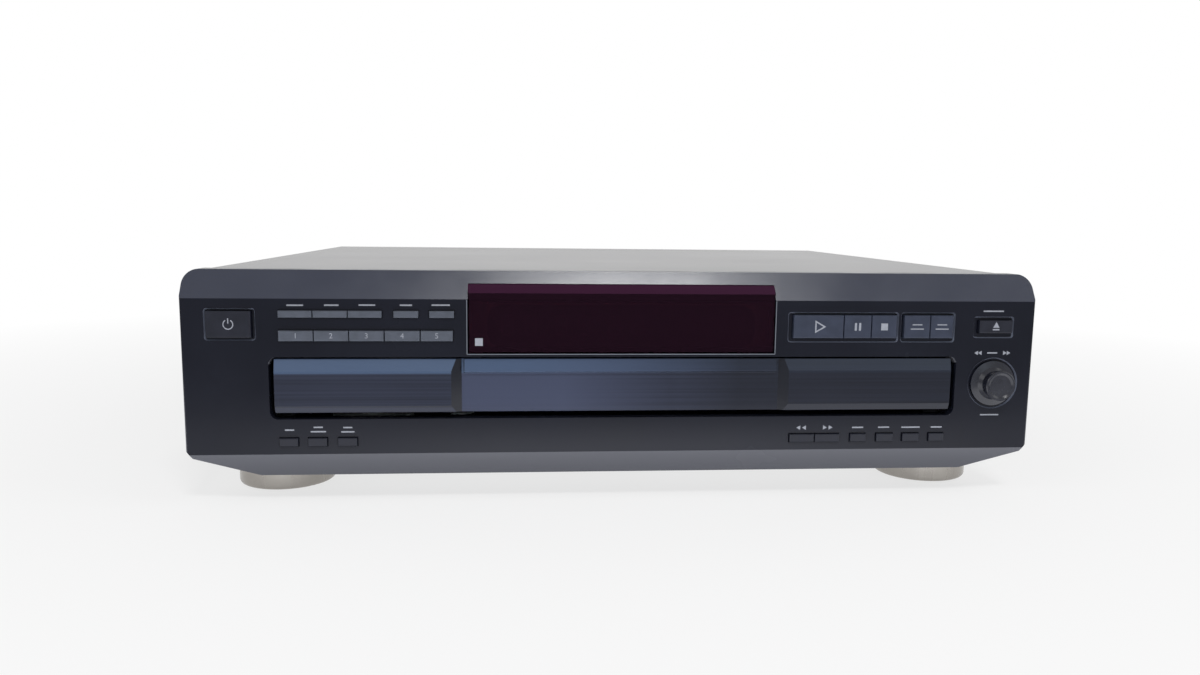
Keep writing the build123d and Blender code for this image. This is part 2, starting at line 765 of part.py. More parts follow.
export_step(mechanism_base.part, "parts/mechanism_base.step")

with BuildPart() as loading_motor:
    upright(loader_motor_x, loader_depth, deck_z[0] - 13, deck_z[0], motor_radius)
    chamfer(loading_motor.edges().group_by(Axis.Z)[0], 1)
    upright(loader_motor_x, loader_depth, deck_z[0], loader_z + pulley_tall, motor_shaft)
loading_motor.part.label = "loading_motor"
export_step(loading_motor.part, "parts/loading_motor.step")

with BuildPart() as loading_pulley:
    pulley(loader_motor_x, loader_depth, loader_z, motor_pulley_radius, motor_shaft)
loading_pulley.part.label = "loading_pulley"
export_step(loading_pulley.part, "parts/loading_pulley.step")

with BuildPart() as loading_belt:
    driven = (loader_x, loader_depth, pulley_radius)
    driving = (loader_motor_x, loader_depth, motor_pulley_radius)
    belt_loop(driven, driving, loader_z)
loading_belt.part.label = "loading_belt"
export_step(loading_belt.part, "parts/loading_belt.step")

with BuildPart() as loading_gear:
    pulley(loader_x, loader_depth, loader_z, pulley_radius, loader_post)
    upright(loader_x, loader_depth, loader_z + pulley_tall, rack_z[0], 2 * loader_post)
    with BuildSketch(Plane.XY.offset(rack_z[0])):
        gear_sketch(rack_teeth_pinion, loader_x, loader_depth, math.pi / rack_teeth_pinion)
    extrude(amount=rack_z[1] - rack_z[0] - fit)
    upright(loader_x, loader_depth, loader_z, rack_z[0] + 3 + seat, loader_post + running, Mode.SUBTRACT)
loading_gear.part.label = "loading_gear"
export_step(loading_gear.part, "parts/loading_gear.step")

# ---- Tray ----
tray_front = door_front + door_thick
carousel_reach = (ring_teeth + pinion_teeth) * gear_module / 2
drive_x = carousel_reach * math.cos(math.radians(drive_spot_angle))
drive_depth = carousel_depth + carousel_reach * math.sin(math.radians(drive_spot_angle))
drive_motor_x = drive_motor_spot[0] * math.cos(math.radians(drive_motor_spot[1]))
drive_motor_depth = carousel_depth + drive_motor_spot[0] * math.sin(math.radians(drive_motor_spot[1]))
drive_z = tray_z[1] + fit
with BuildPart() as tray:
    with BuildSketch(Plane.XY.offset(tray_z[0])) as plan:
        with BuildLine():
            Polyline(
                (-tray_half, face_y + tray_front),
                (tray_half, face_y + tray_front),
                (tray_half, face_y + tray_corner[1]),
                (tray_corner[0], face_y + tray_back),
                (-tray_corner[0], face_y + tray_back),
                (-tray_half, face_y + tray_corner[1]),
                close=True,
            )
        make_face()
        fillet(plan.vertices().group_by(Axis.Y)[1:], 20)
    extrude(amount=tray_top - tray_z[0])
    # round well for the carousel
    upright(0, carousel_depth, tray_z[1], tray_top, carousel_radius + 1, Mode.SUBTRACT)
    # the front corners are hollow behind the door
    with BuildSketch(Plane.XY.offset(tray_z[1])):
        with Locations((0, face_y + (tray_front + tray_hollow) / 2)):
            Rectangle(2 * (tray_half - tray_wall), tray_hollow - tray_front)
        with Locations((0, face_y + carousel_depth)):
            Circle(carousel_radius + 1 + tray_wall, mode=Mode.SUBTRACT)
    extrude(amount=tray_top - tray_wall - tray_z[1], mode=Mode.SUBTRACT)
    # slot that passes over the base unit
    block((-tray_slot[0], tray_slot[0]), (tray_slot[1], tray_back), (tray_z[0], tray_top), Mode.SUBTRACT)
    for side in (-1, 1):
        block(sorted((side * tray_half, side * (tray_half + tray_tongue))),
              (tongue_start, tray_corner[1] - 10), (tray_z[1] - 1, tray_z[1] + 1))
    # rack under the left side
    with BuildSketch(Plane.XY.offset(rack_z[0])):
        with BuildLine():
            low = rack_x - 1.25 * gear_module
            tip = rack_x + 0.9 * gear_module
            slope = math.tan(math.radians(pressure_angle))
            half = tooth_pitch / 4 - backlash / 2
            edge = []
            for tooth in range(-2, int((tray_travel + 12) / tooth_pitch) + 2):
                middle = face_y + loader_depth + tooth * tooth_pitch
                edge += [
                    (low, middle - half - (rack_x - low) * slope),
                    (tip, middle - half + (tip - rack_x) * slope),
                    (tip, middle + half - (tip - rack_x) * slope),
                    (low, middle + half + (rack_x - low) * slope),
                ]
            Polyline((low - rack_rib, edge[0][1]), *edge, (low - rack_rib, edge[-1][1]), close=True)
        make_face()
    extrude(amount=rack_z[1] - rack_z[0])
    # posts for the carousel and its gear
    upright(0, carousel_depth, tray_z[1], carousel_z[1], post_radius)
    upright(drive_x, drive_depth, tray_z[1], drive_z + ring_z[1] - ring_z[0] + 2, loader_post - 1)
tray.part.label = "tray"
export_step(tray.part, "parts/tray.step")

with BuildPart() as tray_door:
    with BuildSketch(Plane.XY.offset(door_z[0])):
        with BuildLine():
            middle_depth = door_front + door_step
            Polyline(
                (-door_half, face_y + door_front),
                (-door_middle - door_slant, face_y + door_front),
                (-door_middle, face_y + middle_depth),
                (door_middle, face_y + middle_depth),
                (door_middle + door_slant, face_y + door_front),
                (door_half, face_y + door_front),
                (door_half, face_y + tray_front),
                (-door_half, face_y + tray_front),
                close=True,
            )
        make_face()
    extrude(amount=door_z[1] - door_z[0])
    # the top leans back and the bottom slopes under
    with BuildSketch(Plane.YZ):
        with BuildLine():
            Polyline(
                (face_y + door_front + door_lean, door_z[0]),
                (face_y + door_front, door_ledge),
                (face_y + door_front, door_brow),
                (face_y + door_front + door_lean, door_z[1]),
                (face_y + tray_front, door_z[1]),
                (face_y + tray_front, door_z[0]),
                close=True,
            )
        make_face()
    extrude(amount=door_half, both=True, mode=Mode.INTERSECT)
    # finger lip over the set-back middle
    with BuildSketch(Plane.YZ):
        with BuildLine():
            Polyline(
                (face_y + middle_depth, door_lip[1]),
                (face_y + door_front + door_lean / 4, door_lip[1] + 1),
                (face_y + door_front + door_lean, door_z[1]),
                (face_y + middle_depth, door_z[1]),
                close=True,
            )
        make_face()
    extrude(amount=door_lip[0], both=True)
tray_door.part.label = "tray_door"
export_step(tray_door.part, "parts/tray_door.step")

# ---- Carousel with five disc pockets ----
with BuildPart() as carousel:
    upright(0, carousel_depth, *carousel_z, carousel_radius)
    upright(0, carousel_depth, carousel_z[1], hub_top, hub_radius)
    fillet(carousel.edges().filter_by(GeomType.CIRCLE).group_by(Axis.Z)[-1], (hub_top - carousel_z[1]) * 0.8)
    centre = Plane((0, face_y + carousel_depth, 0))
    for radius, floor in ((pocket_radius, pocket_floor), (small_radius, small_floor)):
        with BuildSketch(centre.offset(floor)):
            with PolarLocations(pocket_circle, pockets, start_angle=90):
                Circle(radius)
        extrude(amount=carousel_z[1] - floor, mode=Mode.SUBTRACT)
    with BuildSketch(centre.offset(carousel_z[0])):
        with PolarLocations(slot_inner, pockets, start_angle=90):
            with Locations((carousel_radius / 2, 0)):
                Rectangle(carousel_radius, slot_width)
    extrude(amount=carousel_z[1] - carousel_z[0], mode=Mode.SUBTRACT)
    # ring gear and bearing sleeve underneath
    with BuildSketch(Plane.XY.offset(ring_z[0])):
        gear_sketch(ring_teeth, 0, carousel_depth, math.radians(drive_spot_angle) + math.pi / ring_teeth)
    extrude(amount=ring_z[1] - ring_z[0])
    upright(0, carousel_depth, ring_z[1], carousel_z[0], ring_neck)
    upright(0, carousel_depth, ring_z[0], carousel_z[0], ring_neck - ring_thick, Mode.SUBTRACT)
    upright(0, carousel_depth, drive_z, carousel_z[0], 2 * post_radius)
    upright(0, carousel_depth, drive_z, carousel_z[1] + seat, post_radius + running, Mode.SUBTRACT)
carousel.part.label = "carousel"
export_step(carousel.part, "parts/carousel.step")

with BuildPart() as carousel_gear:
    with BuildSketch(Plane.XY.offset(drive_z)):
        gear_sketch(pinion_teeth, drive_x, drive_depth, math.radians(drive_spot_angle + 180))
    extrude(amount=ring_z[1] - drive_z)
    pulley(drive_x, drive_depth, ring_z[1], drive_pulley_radius, loader_post - 1)
    upright(drive_x, drive_depth, drive_z, ring_z[1], loader_post - 1 + running, Mode.SUBTRACT)
carousel_gear.part.label = "carousel_gear"
export_step(carousel_gear.part, "parts/carousel_gear.step")

with BuildPart() as carousel_motor:
    upright(drive_motor_x, drive_motor_depth, tray_z[1], ring_z[1] - fit, drive_motor_radius)
    upright(drive_motor_x, drive_motor_depth, ring_z[1] - fit, ring_z[1] + pulley_tall, motor_shaft)
carousel_motor.part.label = "carousel_motor"
export_step(carousel_motor.part, "parts/carousel_motor.step")

with BuildPart() as carousel_pulley:
    pulley(drive_motor_x, drive_motor_depth, ring_z[1], drive_motor_pulley_radius, motor_shaft)
carousel_pulley.part.label = "carousel_pulley"
export_step(carousel_pulley.part, "parts/carousel_pulley.step")

with BuildPart() as carousel_belt:
    belt_loop((drive_x, drive_depth, drive_pulley_radius),
              (drive_motor_x, drive_motor_depth, drive_motor_pulley_radius), ring_z[1])
carousel_belt.part.label = "carousel_belt"
export_step(carousel_belt.part, "parts/carousel_belt.step")

# ---- Base unit, resting lowered about its hinge ----
lowered = Plane((0, face_y + hinge_depth, hinge_z)).rotated((lift_angle, 0, 0))


def at_base(z):
    """Plane of the lowered base unit that lies at height z once it is raised."""
    return lowered.offset(z - hinge_z)


def from_hinge(depth):
    """Place along the base unit of something that is this far behind the face once it is raised."""
    return depth - hinge_depth


def span(x0, x1, depth0, depth1, radius=0.0, mode=Mode.ADD):
    """Adds or cuts a rectangle in a sketch on the base unit."""
    with Locations(((x0 + x1) / 2, from_hinge((depth0 + depth1) / 2))):
        if radius:
            RectangleRounded(x1 - x0, depth1 - depth0, radius, mode=mode)
        else:
            Rectangle(x1 - x0, depth1 - depth0, mode=mode)


base_deck = base_z[1] - base_wall
shaft_front = spindle_depth + spindle_motor_radius + 1
sled_depth = spindle_depth + sled_start
from_end = (Align.CENTER, Align.CENTER, Align.MIN)
shaft_spots = [Location((x, 0, sled_shaft_z - hinge_z)) for x in (-sled_shaft_x, sled_shaft_x)]
with BuildPart() as base_unit:
    with BuildSketch(at_base(base_z[0])):
        span(-base_half, base_half, base_front, base_back, 3)
    extrude(amount=base_z[1] - base_z[0])
    with BuildSketch(at_base(base_z[0])):
        span(-base_half + base_wall, base_half - base_wall, base_front + base_wall, base_back - base_wall)
    extrude(amount=base_deck - base_z[0], mode=Mode.SUBTRACT)
    # window for the pickup, with a wall that carries the front of its shafts
    with BuildSketch(at_base(base_deck)):
        span(-sled_width - fit, sled_width + fit, shaft_front + base_wall, base_back - 2 * base_wall)
    extrude(amount=base_wall, mode=Mode.SUBTRACT)
    with BuildSketch(at_base(base_z[0])):
        span(-base_half + base_wall, base_half - base_wall, shaft_front, shaft_front + base_wall)
    extrude(amount=base_deck - base_z[0])
    # spindle motor and its shaft
    with BuildSketch(at_base(base_z[0] + 1)):
        with Locations((0, from_hinge(spindle_depth))):
            Circle(spindle_motor_radius)
    extrude(amount=base_deck - base_z[0] - 1)
    with BuildSketch(at_base(base_deck)):
        with Locations((0, from_hinge(spindle_depth))):
            Circle(spindle_radius)
    extrude(amount=table_top - 2 - base_deck)
    # hinge pins, lifting pin and the holes for the shafts
    for side in (-1, 1):
        with Locations(lowered.location * Location((side * (base_half - 1), 0, 0), (0, side * 90, 0))):
            Cylinder(hinge_pin_radius, hinge_post[1] - base_half, align=from_end)
    cam_spot = Location((base_half - 1, from_hinge(cam_pin[0]), cam_pin[1] - hinge_z), (0, 90, 0))
    with Locations(lowered.location * cam_spot):
        Cylinder(cam_pin_radius, cam_plate[1] + seat - base_half + 1, align=from_end)
    for spot in shaft_spots:
        with Locations(lowered.location * spot * Location((0, from_hinge(shaft_front), 0), (-90, 0, 0))):
            Cylinder(sled_shaft_radius + running, base_back - shaft_front, align=from_end, mode=Mode.SUBTRACT)
base_unit.part.label = "base_unit"
export_step(base_unit.part, "parts/base_unit.step")

with BuildPart() as sled_shafts:
    for spot in shaft_spots:
        with Locations(lowered.location * spot * Location((0, from_hinge(shaft_front), 0), (-90, 0, 0))):
            Cylinder(sled_shaft_radius, base_back - shaft_front, align=from_end)
sled_shafts.part.label = "sled_shafts"
export_step(sled_shafts.part, "parts/sled_shafts.step")

with BuildPart() as disc_table:
    with BuildSketch(at_base(base_z[1] + seat)):
        with Locations((0, from_hinge(spindle_depth))):
            Circle(table_radius / 2)
    extrude(amount=table_top - base_z[1] - seat)
    with BuildSketch(at_base(table_top - 2)):
        with Locations((0, from_hinge(spindle_depth))):
            Circle(table_radius)
    extrude(amount=2)
    with BuildSketch(at_base(table_top)):
        with Locations((0, from_hinge(spindle_depth))):
            Circle(table_nose)
    extrude(amount=table_nose_tall, taper=30)
    with BuildSketch(at_base(base_z[1] + seat)):
        with Locations((0, from_hinge(spindle_depth))):
            Circle(spindle_radius + running)
    extrude(amount=table_top - 2 + seat - base_z[1] - seat, mode=Mode.SUBTRACT)
disc_table.part.label = "disc_table"
export_step(disc_table.part, "parts/disc_table.step")

with BuildPart() as pickup_sled:
    with BuildSketch(at_base(sled_shaft_z - 2.5)):
        span(-sled_width, sled_width, sled_depth - sled_half, sled_depth + sled_half, 2)
    extrude(amount=5.5)
    with BuildSketch(at_base(sled_shaft_z + 3)):
        with Locations((0, from_hinge(sled_depth))):
            Circle(6)
    extrude(amount=base_z[1] + 1 - sled_shaft_z - 3)
    with BuildSketch(at_base(base_z[1] + 1)):
        with Locations((0, from_hinge(sled_depth))):
            Circle(3)
    extrude(amount=1.5, taper=20)
    for spot in shaft_spots:
        with Locations(lowered.location * spot * Location((0, from_hinge(shaft_front), 0), (-90, 0, 0))):
            Cylinder(sled_shaft_radius + running, base_back - shaft_front, align=from_end, mode=Mode.SUBTRACT)
pickup_sled.part.label = "pickup_sled"
export_step(pickup_sled.part, "parts/pickup_sled.step")

# ---- Lift slider: a plate with a slanted slot for the lifting pin ----
turn = math.radians(lift_angle)
pin_y, pin_z = from_hinge(cam_pin[0]), cam_pin[1] - hinge_z
low_pin = (
    face_y + hinge_depth + pin_y * math.cos(turn) - pin_z * math.sin(turn),
    hinge_z + pin_y * math.sin(turn) + pin_z * math.cos(turn),
)
high_pin = (face_y + cam_pin[0] + cam_travel, cam_pin[1])
slider_foot = deck_z[1] + seat / 2
with BuildPart() as lift_slider:
    with BuildSketch(Plane.YZ.offset(cam_plate[0])):
        with BuildLine():
            Polyline(
                (low_pin[0] - 15, slider_foot),
                (high_pin[0] + 16, slider_foot),
                (high_pin[0] + 16, slider_foot + 7),
                (high_pin[0] + 8, high_pin[1] + 4.5),
                (high_pin[0] - 6, high_pin[1] + 4.5),
                (low_pin[0] - 8, low_pin[1] + 4.5),
                (low_pin[0] - 15, slider_foot + 7),
                close=True,
            )
        make_face()
        with Locations(((low_pin[0] + high_pin[0]) / 2, (low_pin[1] + high_pin[1]) / 2)):
            SlotCenterToCenter(
                math.dist(low_pin, high_pin),
                2 * (cam_pin_radius + cam_play),
                rotation=math.degrees(math.atan2(high_pin[1] - low_pin[1], high_pin[0] - low_pin[0])),
                mode=Mode.SUBTRACT,
            )
    extrude(amount=cam_plate[1] - cam_plate[0])
lift_slider.part.label = "lift_slider"
export_step(lift_slider.part, "parts/lift_slider.step")

# ---- Clamp over the play position ----
clamper_bottom = table_top + clamp_gap
neck_top = bridge_z[1] + seat
with BuildPart() as clamp_bridge:
    with BuildSketch(behind(bridge_depths[0])):
        window(-rail_outer, rail_outer, *bridge_z)
    extrude(amount=-(bridge_depths[1] - bridge_depths[0]))
    with BuildSketch(behind(bridge_depths[0])):
        for side in (-1, 1):
            window(*sorted((side * (rail_inner + 1), side * rail_outer)), rail_z[1], bridge_z[0])
    extrude(amount=-(rail_depths[1] - bridge_depths[0]))
    for depth in (bridge_depths[0], bridge_depths[1] - 2):
        block((-rail_outer, rail_outer), (depth, depth + 2), (bridge_z[1], bridge_z[1] + 7))
    upright(0, spindle_depth, *bridge_z, clamper_neck + fit, Mode.SUBTRACT)
clamp_bridge.part.label = "clamp_bridge"
export_step(clamp_bridge.part, "parts/clamp_bridge.step")

with BuildPart() as clamper:
    upright(0, spindle_depth, clamper_bottom, clamper_bottom + 2.8, clamper_radius)
    upright(0, spindle_depth, clamper_bottom, neck_top, clamper_neck)
    upright(0, spindle_depth, neck_top, neck_top + 1.6, clamper_neck + 3)
    upright(0, spindle_depth, clamper_bottom, clamper_bottom + table_nose_tall, table_nose + nose_play,
            Mode.SUBTRACT)
clamper.part.label = "clamper"
export_step(clamper.part, "parts/clamper.step")

# ---- Main board, transformer, sockets and gland ----
with BuildPart() as main_board:
    block(main_board_x, main_board_depths, (main_board_z, main_board_z + board))
    board_middle = sum(main_board_x) / 2
    board_front = face_y + main_board_depths[0]
    with BuildSketch(Plane.XY.offset(main_board_z + board)):
        with Locations((board_middle + chip_spot[0], board_front + chip_spot[1])):
            Rectangle(*chip_across)
        with Locations((board_middle + parts_spot[0], board_front + parts_spot[1])):
            with GridLocations(*parts_pitch, 2, 2):
                Rectangle(*parts_across)
    extrude(amount=chip_tall)
    with BuildSketch(Plane.XY.offset(main_board_z + board)):
        with Locations((board_middle + capacitor_spot[0], board_front + capacitor_spot[1])):
            with GridLocations(capacitor_tall, 0, 4, 1):
                Circle(capacitor_radius)
    extrude(amount=capacitor_tall)
    fillet(main_board.faces().group_by(Axis.Z)[-1].edges(), 0.8)
main_board.part.label = "main_board"
export_step(main_board.part, "parts/main_board.step")

with BuildPart() as power_transformer:
    core = transformer_tall * 0.62
    middle = floor_top + transformer_tall / 2
    block(transformer_x, transformer_depths, (middle - core / 2, middle + core / 2))
    inset = transformer_base
    block((transformer_x[0] + transformer_yoke, transformer_x[1] - transformer_yoke),
          (transformer_depths[0] + transformer_lip, transformer_depths[1] - transformer_lip),
          (floor_top + inset - 1, floor_top + transformer_tall))
    block((transformer_x[0] + inset, transformer_x[1] - inset),
          (transformer_depths[0] + inset, transformer_depths[1] - inset),
          (floor_top, floor_top + inset))
power_transformer.part.label = "power_transformer"
export_step(power_transformer.part, "parts/power_transformer.step")

jack_back = (main_board_depths[1] - 14, rear_depth)
with BuildPart() as output_jacks:
    block((jack_x[0] - 8, jack_x[1] + 6), jack_back, (main_board_z + board, jack_z + 7))
    with BuildSketch(behind(rear_depth)):
        with Locations(*[(x, jack_z) for x in jack_x]):
            Circle(jack_collar)
    extrude(amount=-(sheet + collar_proud))
    with BuildSketch(behind(rear_depth)):
        with Locations(*[(x, jack_z) for x in jack_x]):
            Circle(jack_radius)
    extrude(amount=-(sheet + jack_proud))
    with BuildSketch(behind(body_depth + jack_proud)):
        with Locations(*[(x, jack_z) for x in jack_x]):
            Circle(jack_bore)
    extrude(amount=jack_proud + 4, mode=Mode.SUBTRACT)
output_jacks.part.label = "output_jacks"
export_step(output_jacks.part, "parts/output_jacks.step")

with BuildPart() as cord_gland:
    with Locations(Location((gland_x, face_y + rear_depth - 6, gland_z), (-90, 0, 0))):
        Cylinder(gland_radius, 6 + sheet + 5, align=from_end)
        Cylinder(gland_radius + 2, 6 - seat, align=from_end)
    with Locations(Location((gland_x, face_y + body_depth + seat, gland_z), (-90, 0, 0))):
        Cylinder(gland_radius + 1.5, 3, align=from_end)
    with Locations(Location((gland_x, face_y + rear_depth - 6, gland_z), (-90, 0, 0))):
        Cylinder(gland_radius / 2, 20, align=from_end, mode=Mode.SUBTRACT)
cord_gland.part.label = "cord_gland"
export_step(cord_gland.part, "parts/cord_gland.step")
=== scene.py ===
"""Finishes, printed marks and studio stage for a front-loading five-disc changer.

Everything is in metres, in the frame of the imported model: X to the right as one faces the front, Y to the
back, Z up. The front face stands at y = FACE.
"""

import json
import math

import bmesh
import bpy
from mathutils import Matrix, Vector


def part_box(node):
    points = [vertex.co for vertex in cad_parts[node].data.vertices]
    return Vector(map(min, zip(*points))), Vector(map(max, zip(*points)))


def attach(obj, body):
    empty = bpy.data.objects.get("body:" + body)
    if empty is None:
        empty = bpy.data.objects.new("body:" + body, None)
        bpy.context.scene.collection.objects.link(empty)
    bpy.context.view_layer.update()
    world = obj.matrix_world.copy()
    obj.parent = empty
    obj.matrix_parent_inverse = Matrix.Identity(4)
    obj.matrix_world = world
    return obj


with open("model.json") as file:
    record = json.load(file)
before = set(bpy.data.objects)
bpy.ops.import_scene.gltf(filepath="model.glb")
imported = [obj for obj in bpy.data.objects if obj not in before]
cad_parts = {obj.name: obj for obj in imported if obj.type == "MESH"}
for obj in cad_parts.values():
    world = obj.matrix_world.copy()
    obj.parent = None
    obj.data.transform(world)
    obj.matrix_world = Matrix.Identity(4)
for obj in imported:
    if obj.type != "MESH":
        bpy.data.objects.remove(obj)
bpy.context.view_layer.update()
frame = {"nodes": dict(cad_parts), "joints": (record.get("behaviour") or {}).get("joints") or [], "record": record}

bl_info = {
    "name": "Five-disc changer finishes",
    "version": (1, 0, 0),
    "blender": (4, 5, 0),
    "location": "3D View > Sidebar > Changer",
    "description": "Dresses the packed changer with its finishes and printed marks, and sets the studio",
    "category": "Object",
}

MM = 0.001
NODES = frame["nodes"]
CAP_PROUD = 1.4 * MM  # how far the caps stand out of the face
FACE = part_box("mode_1_button")[0].y + CAP_PROUD
STROKE = 0.7 * MM  # width of a printed line
BASE_TILT = math.radians(13.3)  # how far the base unit leans while it is lowered


# ---- Properties ----
def colour(name, text, default):
    """A colour that a user may change."""
    return bpy.props.FloatVectorProperty(
        name=name, description=text, subtype="COLOR", size=3, min=0, max=1, default=default
    )


def length(name, text, default):
    """A length in metres that a user may change."""
    return bpy.props.FloatProperty(
        name=name, description=text, subtype="DISTANCE", unit="LENGTH", default=default
    )


def amount(name, text, default, top):
    """A plain number between nothing and its top."""
    return bpy.props.FloatProperty(name=name, description=text, min=0, max=top, default=default)


class ChangerColours(bpy.types.PropertyGroup):
    """Colours of the changer's finishes; rim, band, chin and lip are painted light."""

    panel: colour("Panel", "Moulded front panel", (0.0058, 0.0066, 0.0112))
    # painted highlight on the slanted rims of the recesses
    rim: colour("Rims", "Slanted rims of the panel's recesses", (0.085, 0.095, 0.125))
    # painted bluish reflection of the sky on the leaning band
    band: colour("Band", "Leaning band along the panel's top", (0.003, 0.007, 0.024))
    # painted light from the bright table in front, on the leaning foot
    chin: colour("Chin", "Leaning foot of the panel", (0.090, 0.092, 0.105))
    # painted reflection of the sky on the door's upper strip
    lip: colour("Lip", "Upper strip of the tray door", (0.042, 0.064, 0.112))
    cap: colour("Caps", "Play mode and disc caps", (0.056, 0.063, 0.080))
    transport_cap: colour("Transport caps", "Play, pause, stop, exchange and skip", (0.022, 0.027, 0.044))
    dark_cap: colour("Dark caps", "Power cap and the small caps under the tray", (0.007, 0.008, 0.014))
    lens: colour("Lens", "Smoked display window", (0.09, 0.038, 0.070))
    door: colour("Door", "Tray door", (0.0125, 0.0150, 0.0260))
    cover: colour("Cover", "Textured paint of the top cover", (0.030, 0.030, 0.033))
    rear: colour("Rear", "Rear panel paint", (0.022, 0.022, 0.024))
    plating: colour("Feet", "Champagne plating of the feet", (0.36, 0.34, 0.315))
    mark: colour("Marks", "Printed marks", (0.22, 0.23, 0.26))
    moulding: colour("Black mouldings", "Tray and carousel", (0.026, 0.026, 0.029))
    board: colour("Circuit boards", "Phenolic board", (0.20, 0.115, 0.040))


class ChangerSizes(bpy.types.PropertyGroup):
    """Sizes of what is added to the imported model."""

    ink: length("Ink", "Half the thickness of a printed mark", 0.03 * MM)
    edge: length("Edge", "Rounding of the moulded edges", 0.35 * MM)


class ChangerStage(bpy.types.PropertyGroup):
    """Camera and lamps."""

    lens: bpy.props.FloatProperty(
        name="Lens", description="Focal length in millimetres", default=27.35, min=10
    )
    key: amount("Key", "Power of the lamp above the front, in watts", 11.0, 500)
    fill: amount("Fill", "Power of the side lamps, in watts", 6.0, 500)
    sky: amount("Sky", "Strength of the even light all round", 0.42, 5)
    brow: amount("Brow", "Power of the long low lamp in front, in watts", 3.0, 500)
    table: amount("Table", "Power of the glow from the table in front, in watts", 1.1, 500)


# ---- Material nodes ----
MADE = {}  # finishes made so far, by name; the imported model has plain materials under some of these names


class Nodes:
    """Adds nodes to a material, each fed by sockets or plain values."""

    def __init__(self, name):
        self.material = MADE[name] = bpy.data.materials.new(name + "_surface")
        self.material.use_nodes = True
        self.tree = self.material.node_tree
        self.shader = self.tree.nodes["Principled BSDF"]
        coordinates = self.tree.nodes.new("ShaderNodeTexCoord").outputs
        self.place, self.normal = coordinates["Object"], coordinates["Normal"]

    def feed(self, socket, value):
        """Links a socket to another one, or gives it a plain value."""
        if isinstance(value, bpy.types.NodeSocket):
            self.tree.links.new(value, socket)
        else:
            socket.default_value = value

    def add(self, kind, out=0, operation=None, **sockets):
        """A node's output, with the node's inputs fed by name, or by number as _0."""
        node = self.tree.nodes.new(kind)
        if operation:
            node.operation = operation
        for key, value in sockets.items():
            self.feed(node.inputs[int(key[1:]) if key[0] == "_" else key.replace("_", " ")], value)
        return node.outputs[out]

    def set(self, **sockets):
        """Feeds the shader's inputs by name."""
        for key, value in sockets.items():
            self.feed(self.shader.inputs[key.replace("_", " ")], value)

    def part(self, vector, axis):
        """One of a vector's three numbers."""
        return self.add("ShaderNodeSeparateXYZ", out="XYZ".index(axis), Vector=vector)

    def unsigned(self, value):
        """A number without its sign."""
        return self.add("ShaderNodeMath", operation="ABSOLUTE", _0=value)

    def product(self, first, second):
        """Two numbers multiplied."""
        return self.add("ShaderNodeMath", operation="MULTIPLY", _0=first, _1=second)

    def greater(self, first, second):
        """The greater of two numbers."""
        return self.add("ShaderNodeMath", operation="MAXIMUM", _0=first, _1=second)

    def noise(self, size, detail=2.0, stretch=(1, 1, 1), roughness=0.5):
        """Noise with features of about that size in metres, stretched along an axis by its factor."""
        place = self.add("ShaderNodeMapping", _0=self.place, Scale=[1 / s for s in stretch])
        return self.add(
            "ShaderNodeTexNoise", Vector=place, Scale=1 / size, Detail=detail, Roughness=roughness
        )

    def ramp(self, value, low, high, to_low, to_high):
        """A value taken from one range to another."""
        return self.add(
            "ShaderNodeMapRange", Value=value, From_Min=low, From_Max=high, To_Min=to_low, To_Max=to_high
        )

    def swing(self, noise, low, high):
        """Noise, which mostly lies between 0.3 and 0.7, taken to a range."""
        return self.ramp(noise, 0.3, 0.7, low, high)

    def blend(self, share, first, second):
        """A colour between two, by a share from 0 to 1."""
        mix = self.tree.nodes.new("ShaderNodeMix")
        mix.data_type = "RGBA"
        self.feed(mix.inputs[0], share)
        # the sockets for colours come after those for numbers and vectors
        for socket, tone in ((mix.inputs[6], first), (mix.inputs[7], second)):
            self.feed(socket, tone if isinstance(tone, bpy.types.NodeSocket) else (*tone[:3], 1))
        return mix.outputs[2]

    def bump(self, height, depth):
        """A bump of that depth in metres."""
        return self.add("ShaderNodeBump", Height=height, Distance=depth, Strength=1.0)


def scaled(tone, factor):
    """A colour made lighter or darker."""
    return tuple(min(1.0, c * factor) for c in tone[:3])


def finish(
    name,
    tone,
    rough,
    *,
    metal=0.0,
    specular=0.5,
    mottle=0.12,
    mottle_size=20 * MM,
    grain=0.02 * MM,
    grain_size=0.5 * MM,
    stretch=(1, 1, 1),
    coat=0.0,
    spread=0.06,
):
    """A surface with a slow change of tone, a matching change of gloss and a fine grain."""
    if name in MADE:
        return MADE[name]
    n = Nodes(name)
    slow = n.noise(mottle_size, 3.0, stretch)
    fine = n.noise(grain_size, 2.0, stretch)
    n.set(
        Base_Color=n.blend(n.swing(slow, 0.0, 1.0), scaled(tone, 1 - mottle), scaled(tone, 1 + mottle)),
        Roughness=n.swing(slow, rough - spread, rough + spread),
        Metallic=metal,
        Specular_IOR_Level=specular,
        Coat_Weight=coat,
        Normal=n.bump(fine, grain),
    )
    return n.material


